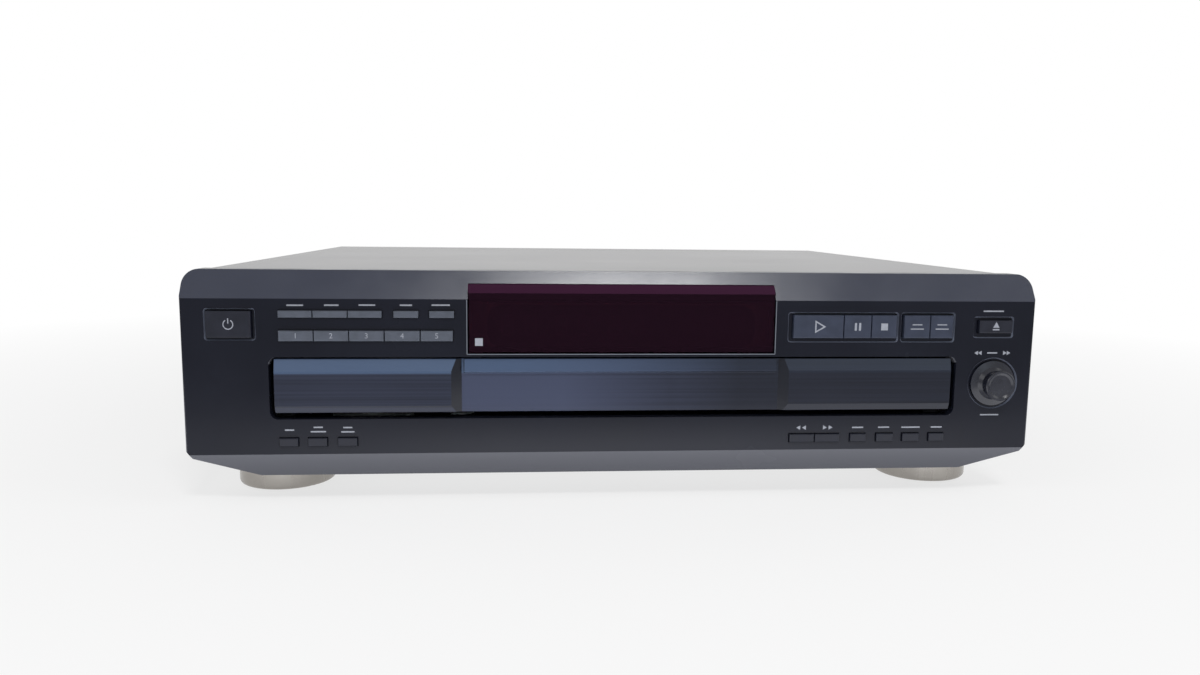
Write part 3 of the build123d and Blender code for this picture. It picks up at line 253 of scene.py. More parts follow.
# ---- Finishes of the front ----
def panel_finish(tone, rim_highlight_tone, band_reflection_tone, chin_table_light_tone):
    """Satin moulding: paler rims round the recesses, a bluish band along the top and a greyer chin, painted there
    as highlight, sky reflection and light from the table.
    """
    n = Nodes("panel")
    slow = n.noise(35 * MM, 3.0)
    fine = n.noise(0.35 * MM, 2.0)
    # the slanted faces are told apart by which way they look: the rims get a painted highlight, the band a painted
    # bluish reflection of the sky and the chin painted light from the table
    facing = n.unsigned(n.part(n.normal, "Y"))
    rising = n.part(n.normal, "Z")
    rim = n.product(n.ramp(facing, 0.25, 0.35, 0.0, 1.0), n.ramp(facing, 0.66, 0.76, 1.0, 0.0))
    band = n.product(n.ramp(rising, 0.25, 0.4, 0.0, 1.0), n.ramp(facing, 0.76, 0.82, 0.0, 1.0))
    chin = n.ramp(rising, -0.22, -0.08, 1.0, 0.0)
    tones = n.blend(n.swing(slow, 0.0, 1.0), scaled(tone, 0.9), scaled(tone, 1.1))
    # painted light from the bright table in front: greyer towards the chin, most of all in the middle
    low = n.ramp(n.part(n.place, "Z"), 28 * MM, 44 * MM, 0.16, 0.0)
    painted_table_light = n.product(low, n.ramp(n.unsigned(n.part(n.place, "X")), 60 * MM, 200 * MM, 1.0, 0.1))
    tones = n.blend(painted_table_light, tones, chin_table_light_tone)
    # painted sky reflection on the band and painted light from the table on the chin
    tones = n.blend(chin, n.blend(band, tones, band_reflection_tone), chin_table_light_tone)
    n.set(
        Base_Color=n.blend(rim, tones, rim_highlight_tone),
        Roughness=n.swing(slow, 0.18, 0.28),
        Specular_IOR_Level=n.ramp(band, 0.0, 1.0, 0.10, 0.62),
        Normal=n.bump(fine, 0.012 * MM),
    )
    return n.material


def door_finish(tone, lip_reflection_tone):
    """Dark glazed plastic with fine level lines, and a paler strip along its top that fades to the right, a
    painted reflection of the sky.
    """
    n = Nodes("door_finish")
    x, z = n.part(n.place, "X"), n.part(n.place, "Z")
    # fine level lines, uneven in strength
    lines = n.noise(0.9 * MM, 1.0, (400, 400, 1))
    patches = n.noise(60 * MM, 2.0, (2, 1, 0.4))
    tones = n.blend(n.ramp(lines, 0.35, 0.65, 0.0, 1.0), scaled(tone, 0.72), scaled(tone, 1.34))
    tones = n.blend(n.ramp(patches, 0.35, 0.75, 0.0, 0.45), tones, scaled(tone, 1.7))
    # painted shade darkens it to the right, and a painted reflection lightens it from the left step to the middle
    tones = n.blend(n.ramp(x, 30 * MM, 60 * MM, 0.0, 0.6), tones, scaled(tone, 0.25))
    sheen = n.product(n.ramp(x, -84 * MM, -80 * MM, 0.0, 0.8), n.ramp(x, -30 * MM, 25 * MM, 1.0, 0.0))
    tones = n.blend(sheen, tones, scaled(tone, 3.2))
    # painted reflection of the sky on the strip along the top, fading to the right
    strip = n.product(
        n.ramp(z, 65.6 * MM, 66.4 * MM, 0.0, 1.0), n.ramp(x, -60 * MM, 60 * MM, 1.0, 0.08)
    )
    # painted shade: the slanted steps beside the middle are darker
    step = n.ramp(n.unsigned(n.part(n.normal, "X")), 0.1, 0.4, 0.0, 1.0)
    n.set(
        Base_Color=n.blend(step, n.blend(strip, tones, lip_reflection_tone), scaled(tone, 0.4)),
        Roughness=n.swing(patches, 0.13, 0.2),
        Specular_IOR_Level=0.18,
        Normal=n.bump(lines, 0.010 * MM),
    )
    return n.material


def lens_finish(tone):
    """Smoked acrylic with a trace of dust, and a denser purple where its top leans back, a painted reflection of
    the light from above on the acrylic's own tint.
    """
    n = Nodes("smoked_lens")
    dust = n.noise(3 * MM, 6.0, (1, 1, 1), 0.75)
    # painted reflection: the leaning top is made an opaque purple
    leaning = n.ramp(n.part(n.normal, "Z"), 0.2, 0.4, 0.0, 1.0)
    smoke = n.blend(n.ramp(dust, 0.55, 0.8, 0.0, 0.35), tone, scaled(tone, 2.0))
    purple = (0.030, 0.006, 0.022)
    n.set(
        Base_Color=n.blend(leaning, smoke, purple),
        Roughness=n.ramp(dust, 0.4, 0.8, 0.03, 0.16),
        Transmission_Weight=n.ramp(leaning, 0.0, 1.0, 1.0, 0.2),
        IOR=1.24,
        Specular_Tint=(1.0, 0.42, 0.80, 1.0),
    )
    return n.material


def dial_finish(tone):
    """Satin black of the dial and its shaft."""
    return finish(
        "dial_finish", scaled(tone, 1.3), 0.25, specular=0.3, mottle_size=6 * MM, grain=0.004 * MM,
        grain_size=0.3 * MM, coat=0.05,
    )


def display_glass():
    """Dark glass of the display tube."""
    return finish(
        "display_glass", (0.014, 0.006, 0.010), 0.35, specular=0.1, mottle=0.2, mottle_size=5 * MM,
        grain=0.002 * MM,
    )


def segment_glass():
    """Unlit segments of the display."""
    return finish("segment_glass", (0.10, 0.05, 0.07), 0.5, specular=0.1)


def window_highlight_paint():
    """Grey of the line round the window, a painted highlight."""
    return finish("window_highlight_paint", (0.10, 0.11, 0.13), 0.4, specular=0.3)


def mark_ink(tone):
    """Pale screen-printing ink."""
    return finish(
        "ink", tone, 0.62, specular=0.2, mottle=0.08, mottle_size=1.2 * MM, grain=0.006 * MM,
        grain_size=0.2 * MM,
    )


def cap_finish(name, tone, rough, mottle_size):
    """Lightly grained plastic of the caps."""
    return finish(
        name, tone, rough, specular=0.2, mottle_size=mottle_size, grain=0.008 * MM, grain_size=0.3 * MM
    )


# ---- Finishes of the case ----
def cover_paint(tone):
    """Satin paint of the top cover."""
    return finish(
        "cover_paint", tone, 0.24, mottle=0.03, mottle_size=120 * MM, grain=0.0, spread=0.01
    )


def rear_paint(tone):
    """Coarser paint of the rear panel."""
    return finish("rear_paint", tone, 0.55, grain=0.03 * MM, grain_size=0.4 * MM)


def screw_steel():
    """Blackened steel of the screws."""
    return finish(
        "screw_steel", (0.10, 0.10, 0.11), 0.32, metal=1.0, mottle=0.2, mottle_size=1.5 * MM,
        grain=0.01 * MM,
    )


def nickel():
    """Bright plating of the sockets."""
    return finish(
        "nickel", (0.62, 0.61, 0.58), 0.22, metal=1.0, mottle=0.05, mottle_size=3 * MM, grain=0.003 * MM
    )


def foot_plating(tone):
    """Champagne plating with fine level turning marks."""
    return finish(
        "foot_plating", tone, 0.26, metal=1.0, mottle=0.04, mottle_size=8 * MM, grain=0.003 * MM,
        grain_size=0.3 * MM, stretch=(1, 1, 8),
    )


def felt():
    """Black felt."""
    return finish(
        "felt", (0.03, 0.03, 0.032), 0.95, specular=0.1, mottle=0.35, mottle_size=0.6 * MM,
        grain=0.2 * MM, grain_size=0.3 * MM,
    )


def circuit_board(tone):
    """Phenolic board."""
    return finish("circuit_board", tone, 0.5, mottle=0.2, mottle_size=4 * MM)


# ---- Finishes of the works ----
def black_moulding():
    """Grained black plastic of the mechanism."""
    return finish(
        "black_moulding", (0.018, 0.018, 0.020), 0.55, specular=0.35, grain=0.03 * MM, grain_size=0.6 * MM
    )


def tray_moulding(tone):
    """Finer grained plastic of the tray and the carousel."""
    return finish("tray_moulding", tone, 0.48, specular=0.4)


def white_acetal():
    """White plastic of gears, pulleys and slider."""
    return finish("white_acetal", (0.74, 0.73, 0.69), 0.45, mottle=0.04)


def belt_rubber():
    """Black rubber."""
    return finish("belt_rubber", (0.015, 0.015, 0.015), 0.7, specular=0.3)


def brushed(name, tone, rough, stretch):
    """Plain metal with fine brush lines along one axis."""
    return finish(
        name, tone, rough, metal=1.0, mottle=0.07, grain=0.006 * MM, grain_size=0.25 * MM, stretch=stretch
    )


def zinc_alloy():
    """Die-cast metal of the base unit."""
    return finish("zinc_alloy", (0.62, 0.62, 0.63), 0.45, metal=1.0)


def lens_glass():
    """Bluish glass of the pickup's lens."""
    return finish(
        "lens_glass", (0.02, 0.03, 0.09), 0.05, specular=0.8, grain=0.0, coat=1.0, spread=0.01
    )


def transformer_core():
    """Stacked iron sheets."""
    return finish(
        "transformer_core", (0.16, 0.15, 0.14), 0.5, metal=0.6, mottle=0.15, grain=0.05 * MM,
        stretch=(60, 60, 1),
    )


def floor_white():
    """Diffuse near the changer, where it holds the shadow, and plain white further off."""
    n = Nodes("floor_white")
    n.set(Base_Color=(0.8, 0.8, 0.8, 1), Roughness=0.9, Specular_IOR_Level=0.0)
    rays = n.tree.nodes.new("ShaderNodeLightPath").outputs
    seen = n.greater(rays["Is Camera Ray"], rays["Is Glossy Ray"])
    distance = n.add("ShaderNodeVectorMath", out=1, operation="LENGTH", _0=n.place)
    share = n.product(seen, n.ramp(distance, 0.25, 0.9, 0.70, 1.0))
    glow = n.add("ShaderNodeEmission", Color=(1, 1, 1, 1), Strength=1.0)
    mixed = n.add("ShaderNodeMixShader", _0=share, _1=n.shader.outputs[0], _2=glow)
    n.tree.links.new(mixed, n.tree.nodes["Material Output"].inputs["Surface"])
    return n.material


# ---- Pieces ----
def dress(material, *names):
    """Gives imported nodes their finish."""
    for name in names:
        node = NODES[name]
        if node.material_slots:
            for slot in node.material_slots:
                slot.material = material
        else:
            node.data.materials.append(material)


def soften(width, name):
    """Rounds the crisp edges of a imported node, whose mesh is loose triangles."""
    weld = NODES[name].modifiers.new("weld", "WELD")
    weld.merge_threshold = 1e-6
    flat = NODES[name].modifiers.new("flat", "DECIMATE")
    flat.decimate_type = "DISSOLVE"
    flat.angle_limit = math.radians(1.0)
    round_over = NODES[name].modifiers.new("round", "BEVEL")
    round_over.width = width
    round_over.segments = 2
    round_over.limit_method = "ANGLE"
    round_over.angle_limit = math.radians(35)
    round_over.use_clamp_overlap = True
    round_over.harden_normals = True


def piece(name, bm, material, body, smooth=False):
    """Makes an object from a bmesh, gives it a finish and lets it ride on a body."""
    bmesh.ops.remove_doubles(bm, verts=bm.verts, dist=1e-7)
    bmesh.ops.recalc_face_normals(bm, faces=bm.faces)
    mesh = bpy.data.meshes.new(name)
    bm.to_mesh(mesh)
    bm.free()
    mesh.materials.append(material)
    if smooth:
        mesh.shade_smooth()
    made = bpy.data.objects.new(name, mesh)
    bpy.context.scene.collection.objects.link(made)
    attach(made, body)


# stands for a drawing in X and Y: read from the front, seen from the back, and read from above
FRONT = Matrix.Rotation(math.radians(90), 4, "X")
BACK = Matrix.Rotation(math.radians(-90), 4, "X")
FLAT = Matrix.Identity(4)


def settle(bm, start, place, turn=0.0, stand=FRONT):
    """Turns the geometry that isn't in start in its drawing plane, stands it up and moves it to its place."""
    made = [v for v in bm.verts if v not in start]
    matrix = Matrix.Translation(place) @ stand @ Matrix.Rotation(turn, 4, "Z")
    bmesh.ops.transform(bm, matrix=matrix, verts=made)


def bar(bm, x, y, z, wide, tall, deep, stand=FRONT):
    """A flat printed bar with rounded corners."""
    start = set(bm.verts)
    made = bmesh.ops.create_cube(bm, size=1)["verts"]
    bmesh.ops.scale(bm, verts=made, vec=(wide, tall, deep))
    edges = {e for v in made for e in v.link_edges}
    corners = [e for e in edges if abs(e.verts[0].co.z - e.verts[1].co.z) > deep / 2]
    bmesh.ops.bevel(bm, geom=corners, offset=0.3 * min(wide, tall), affect="EDGES", segments=2, profile=0.5,
                    material=-1)
    settle(bm, start, (x, y, z), stand=stand)


def outline(bm, x, y, z, sides, radius, stroke, deep, turn=0.0):
    """A printed triangle or square, drawn with a line as wide as stroke, or filled where stroke is 0."""
    start = set(bm.verts)
    made = bmesh.ops.create_circle(bm, cap_ends=True, cap_tris=False, segments=sides, radius=radius)["verts"]
    faces = list(made[0].link_faces)
    if stroke:
        rim = bmesh.ops.inset_region(bm, faces=faces, thickness=stroke, use_boundary=True,
                                     use_even_offset=True)["faces"]
        bmesh.ops.delete(bm, geom=faces, context="FACES_ONLY")
        faces = rim
    top = bmesh.ops.extrude_face_region(bm, geom=faces, use_keep_orig=True)["geom"]
    bmesh.ops.translate(bm, verts=[v for v in top if isinstance(v, bmesh.types.BMVert)], vec=(0, 0, deep))
    settle(bm, start, (x, y, z), turn)


def arc(bm, x, y, z, radius, stroke, deep, sweep, turn):
    """An open printed arc of a ring."""
    start = set(bm.verts)
    made = bmesh.ops.create_grid(bm, x_segments=1, y_segments=1, size=0.5)["verts"]
    bmesh.ops.scale(bm, verts=made, vec=(stroke, deep, 1))
    bmesh.ops.rotate(bm, verts=made, cent=(0, 0, 0), matrix=Matrix.Rotation(math.radians(90), 3, "X"))
    bmesh.ops.translate(bm, verts=made, vec=(radius, 0, 0))
    edges = {e for v in made for e in v.link_edges}
    faces = {f for v in made for f in v.link_faces}
    bmesh.ops.spin(bm, geom=[*made, *edges, *faces], cent=(0, 0, 0), axis=(0, 0, 1), angle=sweep, steps=24,
                   use_duplicate=False)
    settle(bm, start, (x, y, z), turn)


def numeral(bm, text, x, y, z, tall, deep, turn=0.0, stand=FRONT):
    """A plain number, centred on its place."""
    start = set(bm.verts)
    curve = bpy.data.curves.new("numeral", "FONT")
    curve.body = text
    curve.size = tall / 0.7  # a numeral takes up 0.7 of the type's height
    curve.align_x = "CENTER"
    curve.align_y = "CENTER"
    curve.extrude = deep / 2
    curve.resolution_u = 4
    carrier = bpy.data.objects.new("numeral", curve)
    mesh = bpy.data.meshes.new_from_object(carrier)
    bm.from_mesh(mesh)
    bpy.data.objects.remove(carrier)
    bpy.data.meshes.remove(mesh)
    bpy.data.curves.remove(curve)
    settle(bm, start, (x, y, z), turn, stand)


def ring(bm, x, y, z, inner, outer, z0, z1, stand):
    """A ring about the stand's upright axis, spun from its section."""
    start = set(bm.verts)
    section = [(inner, z0), (outer, z0), (outer, z1), (inner, z1)]
    verts = [bm.verts.new((r, 0, h)) for r, h in section]
    edges = [bm.edges.new((a, b)) for a, b in zip(verts, verts[1:] + verts[:1])]
    bmesh.ops.spin(bm, geom=verts + edges, cent=(0, 0, 0), axis=(0, 0, 1), angle=math.tau, steps=64,
                   use_merge=True, use_duplicate=False)
    settle(bm, start, (x, y, z), stand=stand)


def pivot(name):
    """Where a joint stands."""
    return Vector(next(j for j in frame["joints"] if j["name"] == name)["pos_m"])


def centre(name):
    """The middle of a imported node's box."""
    low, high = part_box(name)
    return (low + high) / 2


# ---- Operators ----
class CHANGER_OT_case(bpy.types.Operator):
    """Finishes the case, its screws, sockets and gland, and marks the sockets"""

    bl_idname = "changer.case"
    bl_label = "Case"

    def execute(self, context):
        tones, sizes = context.scene.changer_colours, context.scene.changer_sizes
        dress(cover_paint(tones.cover), "top_cover")
        dress(rear_paint(tones.rear), "rear_panel")
        dress(brushed("zinc_steel", (0.60, 0.60, 0.60), 0.38, (60, 1, 1)), "floor_pan", "clamp_bridge")
        dress(screw_steel(), "cover_screws")
        dress(black_moulding(), "cord_gland", "mechanism_base")
        dress(nickel(), "output_jacks")
        # a white and a red ring round the barrels of the sockets, a dash over each and one over both
        collar = 0.8 * MM  # how far the sockets' collars stand out of the rear panel
        gap, wide, sunk, proud = 0.05 * MM, 1.6 * MM, 0.1 * MM, 0.5 * MM  # of the coloured rings
        own_height, own_wide = 9.5 * MM, 5 * MM
        both_height, both_wide, half_pitch = 12.5 * MM, 21 * MM, 8 * MM
        marks = bmesh.new()
        for name, tone in (("line_out_left", (0.72, 0.72, 0.70)), ("line_out_right", (0.46, 0.012, 0.014))):
            mount = next(m for m in frame["record"]["mounts"] if m["name"] == name)
            x, y, z = mount["pos_m"]
            root = y - mount["dims"]["length_mm"] / 2 * MM
            inner = mount["dims"]["r_mm"] * MM + gap
            bm = bmesh.new()
            ring(bm, x, root, z, inner, inner + wide, -sunk, proud, BACK)
            piece(name + "_ring", bm, finish(name, tone, 0.4, mottle=0.03), "enclosure")
            bar(marks, x, root - collar, z + own_height, own_wide, STROKE, 2 * sizes.ink, BACK)
        bar(marks, x - half_pitch, root - collar, z + both_height, both_wide, STROKE, 2 * sizes.ink, BACK)
        piece("rear_labels", marks, mark_ink(tones.mark), "enclosure")
        return {"FINISHED"}


class CHANGER_OT_feet(bpy.types.Operator):
    """Plates the feet and lays their felt"""

    bl_idname = "changer.feet"
    bl_label = "Feet"

    def execute(self, context):
        dress(foot_plating(context.scene.changer_colours.plating), "feet")
        dress(felt(), "foot_pads")
        return {"FINISHED"}


class CHANGER_OT_front(bpy.types.Operator):
    """Finishes the panel, the dial, the boards and the window, and makes the display behind it"""

    bl_idname = "changer.front"
    bl_label = "Front"

    def execute(self, context):
        tones, sizes = context.scene.changer_colours, context.scene.changer_sizes
        dress(panel_finish(tones.panel, tones.rim, tones.band, tones.chin), "front_panel")
        soften(sizes.edge, "front_panel")
        dress(dial_finish(tones.panel), "jog_dial", "dial_shaft")
        dress(lens_finish(tones.lens), "display_window")
        dress(circuit_board(tones.board), "front_board", "main_board")
        behind = 4.9 * MM  # from the face to the display
        self.display(FACE + behind)
        # a painted highlight round the window's sides and foot
        self.window_edge_highlight(2 * sizes.ink)
        return {"FINISHED"}

    def display(self, y):
        """A dark tube with six unlit digits and a block of track numbers, whose front stands at y."""
        tube_middle, tube_wide, tube_tall, tube_deep = 89.5 * MM, 136 * MM, 21.4 * MM, 0.3 * MM
        bm = bmesh.new()
        bar(bm, 0, y + tube_deep / 2, tube_middle, tube_wide, tube_tall, tube_deep)
        piece("display_tube", bm, display_glass(), "enclosure")
        # seven bars make a digit, and the digits stand in pairs (places in millimetres)
        first, pitch, pair_gap, middle, half_wide, half_tall = -58, 11.5, 4, 90, 2.7, 4.6
        level, upright, thick, deep = 4.2 * MM, 3.6 * MM, 0.8 * MM, 0.1 * MM
        bm = bmesh.new()
        for k in range(6):
            x = (first + pitch * k + pair_gap * (k // 2)) * MM
            for row in (-1, 0, 1):
                bar(bm, x, y, (middle + half_tall * row) * MM, level, thick, deep)
            for side in (-1, 1):
                for row in (-1, 1):
                    z = (middle + half_tall / 2 * row) * MM
                    bar(bm, x + side * half_wide * MM, y, z, thick, upright, deep)
        # two rows of ten track numbers
        left, top, across, down, tall = 24, 92.5, 4.1, 4.6, 2.2 * MM
        for k in range(20):
            row, column = divmod(k, 10)
            numeral(bm, str(k + 1), (left + across * column) * MM, y, (top - down * row) * MM, tall, deep)
        piece("display_segments", bm, segment_glass(), "enclosure")

    def window_edge_highlight(self, deep):
        """A grey line round the window's sides and foot, a painted highlight where its bevelled edge catches the
        light.
        """
        foot, side, top, thick = 75.8 * MM, 77.9 * MM, 103 * MM, 0.4 * MM
        bm = bmesh.new()
        bar(bm, 0, FACE, foot, 2 * side, thick, deep)
        for x in (-side, side):
            bar(bm, x, FACE, (foot + top) / 2, thick, top - foot, deep)
        piece("window_edge_highlight", bm, window_highlight_paint(), "enclosure")


class CHANGER_OT_buttons(bpy.types.Operator):
    """Finishes every button and prints its symbol"""

    bl_idname = "changer.buttons"
    bl_label = "Buttons"

    def execute(self, context):
        tones, sizes = context.scene.changer_colours, context.scene.changer_sizes
        pale = cap_finish("cap_finish", tones.cap, 0.42, 5 * MM)
        middle = cap_finish("transport_finish", tones.transport_cap, 0.36, 6 * MM)
        dark = cap_finish("dark_cap_finish", tones.dark_cap, 0.36, 6 * MM)
        ink = mark_ink(tones.mark)
        for name in [n for n in NODES if n.endswith("_button")]:
            kind = name.split("_")[0]
            if kind in ("mode", "disc", "repeat"):
                dress(pale, name)
            elif kind in ("play", "pause", "stop", "exchange", "skip"):
                dress(middle, name)
            else:
                dress(dark, name)
            bm = bmesh.new()
            if self.draw_symbol(bm, name, 2 * sizes.ink):
                piece(name.replace("button", "symbol"), bm, ink, name)
            else:
                bm.free()
        return {"FINISHED"}

    def draw_symbol(self, bm, name, deep):
        """Draws the symbol that stands on a cap, and says whether there is one."""
        x, z = centre(name).x, centre(name).z
        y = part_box(name)[0].y
        if name == "power_button":
            arc(bm, x, y, z, 2.3 * MM, 0.5 * MM, deep, math.radians(300), math.radians(120))
            bar(bm, x, y, z + 1.7 * MM, 0.5 * MM, 2.6 * MM, deep)
        elif name == "play_button":
            outline(bm, x, y, z, 3, 3.8 * MM, STROKE, deep, -math.pi / 2)
        elif name == "pause_button":
            for side in (-1, 1):
                bar(bm, x + side * 1.1 * MM, y, z, 1.1 * MM, 4.0 * MM, deep)
        elif name == "stop_button":
            outline(bm, x, y, z, 4, 2.5 * MM, 0, deep, math.radians(45))
        elif name == "open_close_button":
            outline(bm, x, y, z + 0.6 * MM, 3, 2.0 * MM, 0, deep)
            bar(bm, x, y, z - 1.4 * MM, 3.6 * MM, STROKE, deep)
        elif name in ("exchange_button", "skip_button"):
            for row, wide in ((1.1, 5.2), (-1.1, 7.0)):
                bar(bm, x, y, z + row * MM, wide * MM, 0.55 * MM, deep)
        elif name[:5] == "disc_" and name[5].isdigit():
            numeral(bm, name[5], x, y, z, 2.6 * MM, deep)
        else:
            return False
        return True


# x, z and width of the printed dashes, in millimetres
DASHES = (
    # over the play mode, repeat, disc check and open buttons
    (-160.6, 100.0, 8.0), (-143.2, 100.1, 7.0), (-126.2, 100.2, 8.0), (-107.4, 100.2, 6.0),
    (-90.5, 100.3, 9.0), (192.6, 98.2, 11.0),
    # under the dial
    (193.9, 43.6, 10.0),
    # over the time button, and two lines over the edit and the peak search button
    (-165.0, 38.1, 4.5), (-151.1, 39.4, 4.5), (-151.1, 37.2, 7.5), (-136.8, 39.2, 4.5), (-136.8, 37.0, 6.5),
    # over the check, clear, scan and fader buttons
    (123.2, 37.3, 6.0), (137.1, 37.3, 6.0), (151.6, 37.2, 10.0), (165.5, 37.2, 6.0),
    # over the dial
    (193.3, 76.4, 5.5),
)
# x and way of the double arrows: over the seek bar, and on both sides of the dash over the dial
SEEK_ARROWS = ((92.0, -1), (95.0, -1), (105.4, 1), (108.4, 1))
DIAL_ARROWS = ((186.9, -1), (184.9, -1), (199.8, 1), (201.8, 1))


class CHANGER_OT_labels(bpy.types.Operator):
    """Prints small dashes and arrows on the panel beside the buttons"""

    bl_idname = "changer.labels"
    bl_label = "Labels"

    def execute(self, context):
        tones, deep = context.scene.changer_colours, 2 * context.scene.changer_sizes.ink
        bm = bmesh.new()
        for x, z, wide in DASHES:
            bar(bm, x * MM, FACE, z * MM, wide * MM, STROKE, deep)
        for arrows, z, size in ((SEEK_ARROWS, 37.4, 1.35), (DIAL_ARROWS, 76.4, 1.3)):
            for x, way in arrows:
                outline(bm, x * MM, FACE, z * MM, 3, size * MM, 0, deep, -way * math.pi / 2)
        piece("panel_labels", bm, mark_ink(tones.mark), "enclosure")
        # a small square in the window's lower left corner
        x, z, radius = -72.0 * MM, 82.0 * MM, 2.7 * MM
        bm = bmesh.new()
        outline(bm, x, FACE, z, 4, radius, 0, deep, math.radians(45))
        piece("window_mark", bm, mark_ink(tones.mark), "enclosure")
        return {"FINISHED"}


class CHANGER_OT_tray(bpy.types.Operator):
    """Finishes the tray, its door, the carousel and their drives, and numbers the pockets"""

    bl_idname = "changer.tray"
    bl_label = "Tray"

    def execute(self, context):
        tones, sizes = context.scene.changer_colours, context.scene.changer_sizes
        dress(tray_moulding(tones.moulding), "tray", "carousel")
        dress(door_finish(tones.door, tones.lip), "tray_door")
        soften(0.7 * sizes.edge, "tray_door")
        dress(white_acetal(), "carousel_gear", "carousel_pulley", "loading_gear", "loading_pulley",
              "lift_slider")
        dress(brushed("motor_can", (0.60, 0.60, 0.62), 0.28, (1, 1, 60)), "carousel_motor", "loading_motor")
        dress(belt_rubber(), "carousel_belt", "loading_belt")
        # a plain number on the web beside each pocket
        middle = pivot("carousel_turn")
        radius, top, tall, pockets = 150 * MM, 4 * MM, 8 * MM, 5
        bm = bmesh.new()
        for k in range(pockets):
            at = math.radians(54 + 360 / pockets * k)
            x, y = middle.x + radius * math.cos(at), middle.y + radius * math.sin(at)
            numeral(bm, str(k + 1), x, y, middle.z + top, tall, 2 * sizes.ink, at + math.pi / 2, FLAT)
        piece("carousel_numbers", bm, mark_ink(tones.mark), "carousel")
        return {"FINISHED"}


class CHANGER_OT_drive(bpy.types.Operator):
    """Finishes the base unit and what it carries, the clamper and the transformer"""

    bl_idname = "changer.drive"
    bl_label = "Drive"

    def execute(self, context):
        dress(zinc_alloy(), "base_unit", "pickup_sled")
        dress(brushed("shaft_steel", (0.66, 0.66, 0.67), 0.16, (1, 60, 1)), "sled_shafts")
        dress(black_moulding(), "disc_table", "clamper")
        dress(transformer_core(), "power_transformer")
        # the disc table's rubber ring and the pickup's lens, on the frame that is lowered and leans
        lowered = Matrix.Translation(pivot("base_unit_lift")) @ Matrix.Rotation(BASE_TILT, 4, "X")
        table_top = lowered @ Matrix.Translation((0, -69 * MM, 12.5 * MM))
        sled_top = lowered @ Matrix.Translation((0, -45 * MM, 3.5 * MM))
        inner, outer, thick = 8.4 * MM, 13.4 * MM, 0.25 * MM
        bm = bmesh.new()
        ring(bm, 0, 0, 0, inner, outer, 0, thick, table_top)
        piece("disc_table_ring", bm, belt_rubber(), "disc_table")
        radius, flatness = 2.1 * MM, 0.4
        bm = bmesh.new()
        made = bmesh.ops.create_uvsphere(bm, u_segments=32, v_segments=16, radius=radius)["verts"]
        bmesh.ops.scale(bm, verts=made, vec=(1, 1, flatness))
        bmesh.ops.transform(bm, matrix=sled_top, verts=made)
        piece("pickup_lens", bm, lens_glass(), "pickup_sled", smooth=True)
        return {"FINISHED"}


# the camera stands a little left of the middle and above the top, and looks slightly down
CAMERA_PLACE = (-0.04986, -0.63523, 0.14398)
CAMERA_YAW, CAMERA_PITCH, CAMERA_ROLL = math.radians(4.824), math.radians(7.505), math.radians(0.676)
SENSOR_WIDTH = 36  # millimetres, as the focal length is


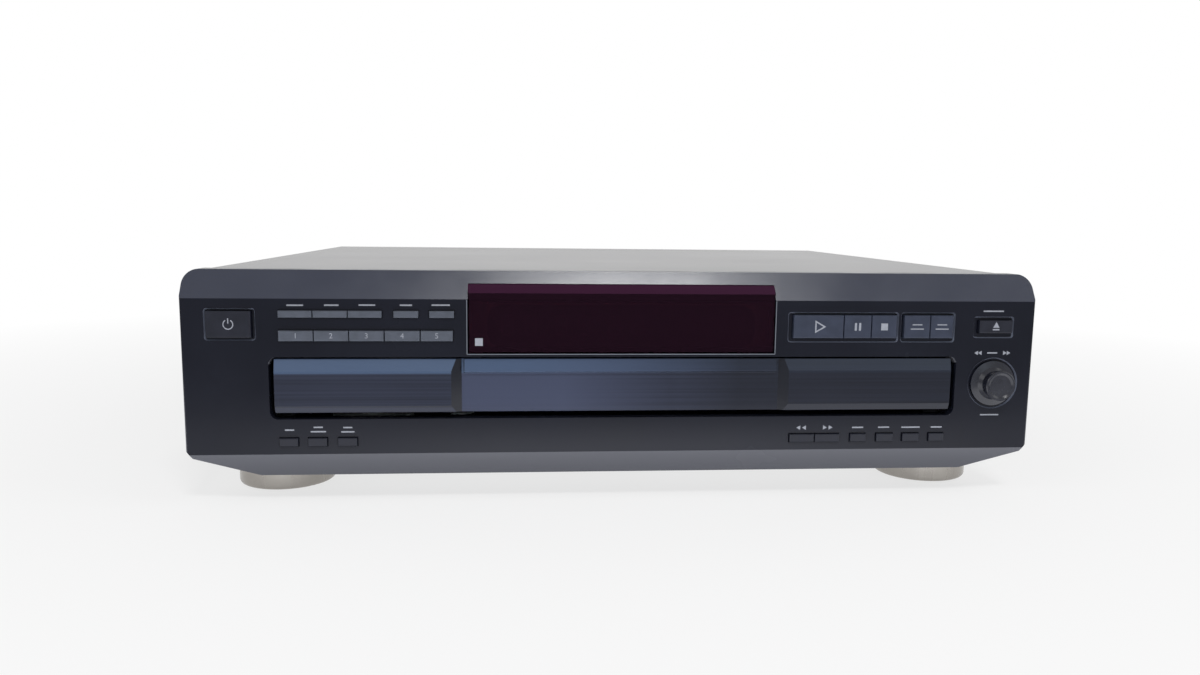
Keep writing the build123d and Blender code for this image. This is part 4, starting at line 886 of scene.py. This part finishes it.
class CHANGER_OT_stage(bpy.types.Operator):
    """Lays the floor, hangs the lamps and sets up the camera"""

    bl_idname = "changer.stage"
    bl_label = "Stage"

    def execute(self, context):
        stage = context.scene.changer_stage
        self.lay_floor(context.scene)
        self.light_sky(context.scene, stage.sky)
        self.hang_lamps(context.scene, stage)
        self.place_camera(context.scene, stage.lens)
        context.scene.view_settings.view_transform = "Standard"
        return {"FINISHED"}

    def lay_floor(self, scene):
        """A white floor, wide enough to reach past every view."""
        half_wide = 6
        bm = bmesh.new()
        bmesh.ops.create_grid(bm, x_segments=1, y_segments=1, size=half_wide)
        mesh = bpy.data.meshes.new("floor")
        bm.to_mesh(mesh)
        bm.free()
        mesh.materials.append(floor_white())
        floor = bpy.data.objects.new("floor", mesh)
        scene.collection.objects.link(floor)

    def light_sky(self, scene, strength):
        """An even soft light, behind a plain white that the camera, mirrors and glass see instead."""
        world = scene.world or bpy.data.worlds.new("studio")
        scene.world = world
        world.use_nodes = True
        tree = world.node_tree
        tree.nodes.clear()
        out = tree.nodes.new("ShaderNodeOutputWorld")
        mix = tree.nodes.new("ShaderNodeMixShader")
        rays = tree.nodes.new("ShaderNodeLightPath").outputs
        soft = tree.nodes.new("ShaderNodeBackground")
        seen = tree.nodes.new("ShaderNodeBackground")
        for background, power in ((soft, strength), (seen, 1.0)):
            background.inputs["Color"].default_value = (1, 1, 1, 1)
            background.inputs["Strength"].default_value = power
        either = rays["Is Camera Ray"]
        for kind in ("Is Glossy Ray", "Is Transmission Ray"):
            greater = tree.nodes.new("ShaderNodeMath")
            greater.operation = "MAXIMUM"
            tree.links.new(either, greater.inputs[0])
            tree.links.new(rays[kind], greater.inputs[1])
            either = greater.outputs[0]
        for source, socket in zip((either, soft.outputs[0], seen.outputs[0]), mix.inputs):
            tree.links.new(source, socket)
        tree.links.new(mix.outputs[0], out.inputs[0])

    def hang_lamps(self, scene, stage):
        """Large soft lamps that the camera doesn't see."""
        # place, what it points at, size along and across, power, tint
        lamps = {
            "key_lamp": ((0.16, -1.20, 1.35), (0.0, -0.18, 0.10), (0.42, 0.25), stage.key, (1, 1, 1)),
            "left_lamp": ((-1.6, -1.0, 1.2), (0.0, 0.0, 0.05), (1.0, 1.0), stage.fill, (1, 1, 1)),
            "right_lamp": ((1.7, -0.6, 1.3), (0.0, 0.0, 0.05), (1.0, 1.0), stage.fill, (1, 1, 1)),
            "brow_lamp": ((0.0, -2.0, 0.50), (0.0, -0.18, 0.07), (2.6, 0.16), stage.brow, (0.70, 0.85, 1.0)),
            "table_lamp": ((0.0, -0.29, 0.002), (0.0, -0.29, 1.0), (0.95, 0.17), stage.table,
                           (0.95, 0.96, 1.0)),
        }
        for name, (place, aim, size, power, tint) in lamps.items():
            lamp = bpy.data.lights.new(name, "AREA")
            lamp.shape = "RECTANGLE"
            lamp.size, lamp.size_y = size
            lamp.energy = power
            lamp.color = tint
            holder = bpy.data.objects.new(name, lamp)
            holder.location = place
            holder.visible_camera = False
            holder.rotation_euler = (Vector(aim) - Vector(place)).to_track_quat("-Z", "Y").to_euler()
            scene.collection.objects.link(holder)

    def place_camera(self, scene, focal_length):
        """Stands the camera at its place, turned, tipped down and rolled."""
        level = Vector((math.cos(CAMERA_YAW), -math.sin(CAMERA_YAW), 0))
        ahead = Vector((math.sin(CAMERA_YAW), math.cos(CAMERA_YAW), 0))
        forward = math.cos(CAMERA_PITCH) * ahead - math.sin(CAMERA_PITCH) * Vector((0, 0, 1))
        right = math.cos(CAMERA_ROLL) * level + math.sin(CAMERA_ROLL) * level.cross(forward)
        turn = Matrix((right, right.cross(forward), -forward)).transposed().to_4x4()
        lens = bpy.data.cameras.new("camera")
        lens.sensor_width = SENSOR_WIDTH
        lens.lens = focal_length
        lens.clip_start = 0.01
        camera = bpy.data.objects.new("camera", lens)
        camera.matrix_world = Matrix.Translation(CAMERA_PLACE) @ turn
        scene.collection.objects.link(camera)
        scene.camera = camera


class CHANGER_PT_panel(bpy.types.Panel):
    """Lists the changer's steps and their settings"""

    bl_label = "Changer"
    bl_idname = "CHANGER_PT_panel"
    bl_space_type = "VIEW_3D"
    bl_region_type = "UI"
    bl_category = "Changer"

    def draw(self, context):
        for step in STEPS:
            self.layout.operator(step.bl_idname)
        for name in GROUPS:
            group = getattr(context.scene, name)
            box = self.layout.box()
            for key in group.__annotations__:
                box.prop(group, key)


STEPS = (
    CHANGER_OT_case,
    CHANGER_OT_feet,
    CHANGER_OT_front,
    CHANGER_OT_buttons,
    CHANGER_OT_labels,
    CHANGER_OT_tray,
    CHANGER_OT_drive,
    CHANGER_OT_stage,
)
GROUPS = {"changer_colours": ChangerColours, "changer_sizes": ChangerSizes, "changer_stage": ChangerStage}


def register():
    for cls in (*GROUPS.values(), *STEPS, CHANGER_PT_panel):
        bpy.utils.register_class(cls)
    for key, group in GROUPS.items():
        setattr(bpy.types.Scene, key, bpy.props.PointerProperty(type=group))


def unregister():
    for key in GROUPS:
        delattr(bpy.types.Scene, key)
    for cls in (CHANGER_PT_panel, *reversed(STEPS), *reversed(GROUPS.values())):
        bpy.utils.unregister_class(cls)


def main():
    register()
    for step in STEPS:
        area, name = step.bl_idname.split(".")
        getattr(getattr(bpy.ops, area), name)()


if __name__ == "__main__":
    main()
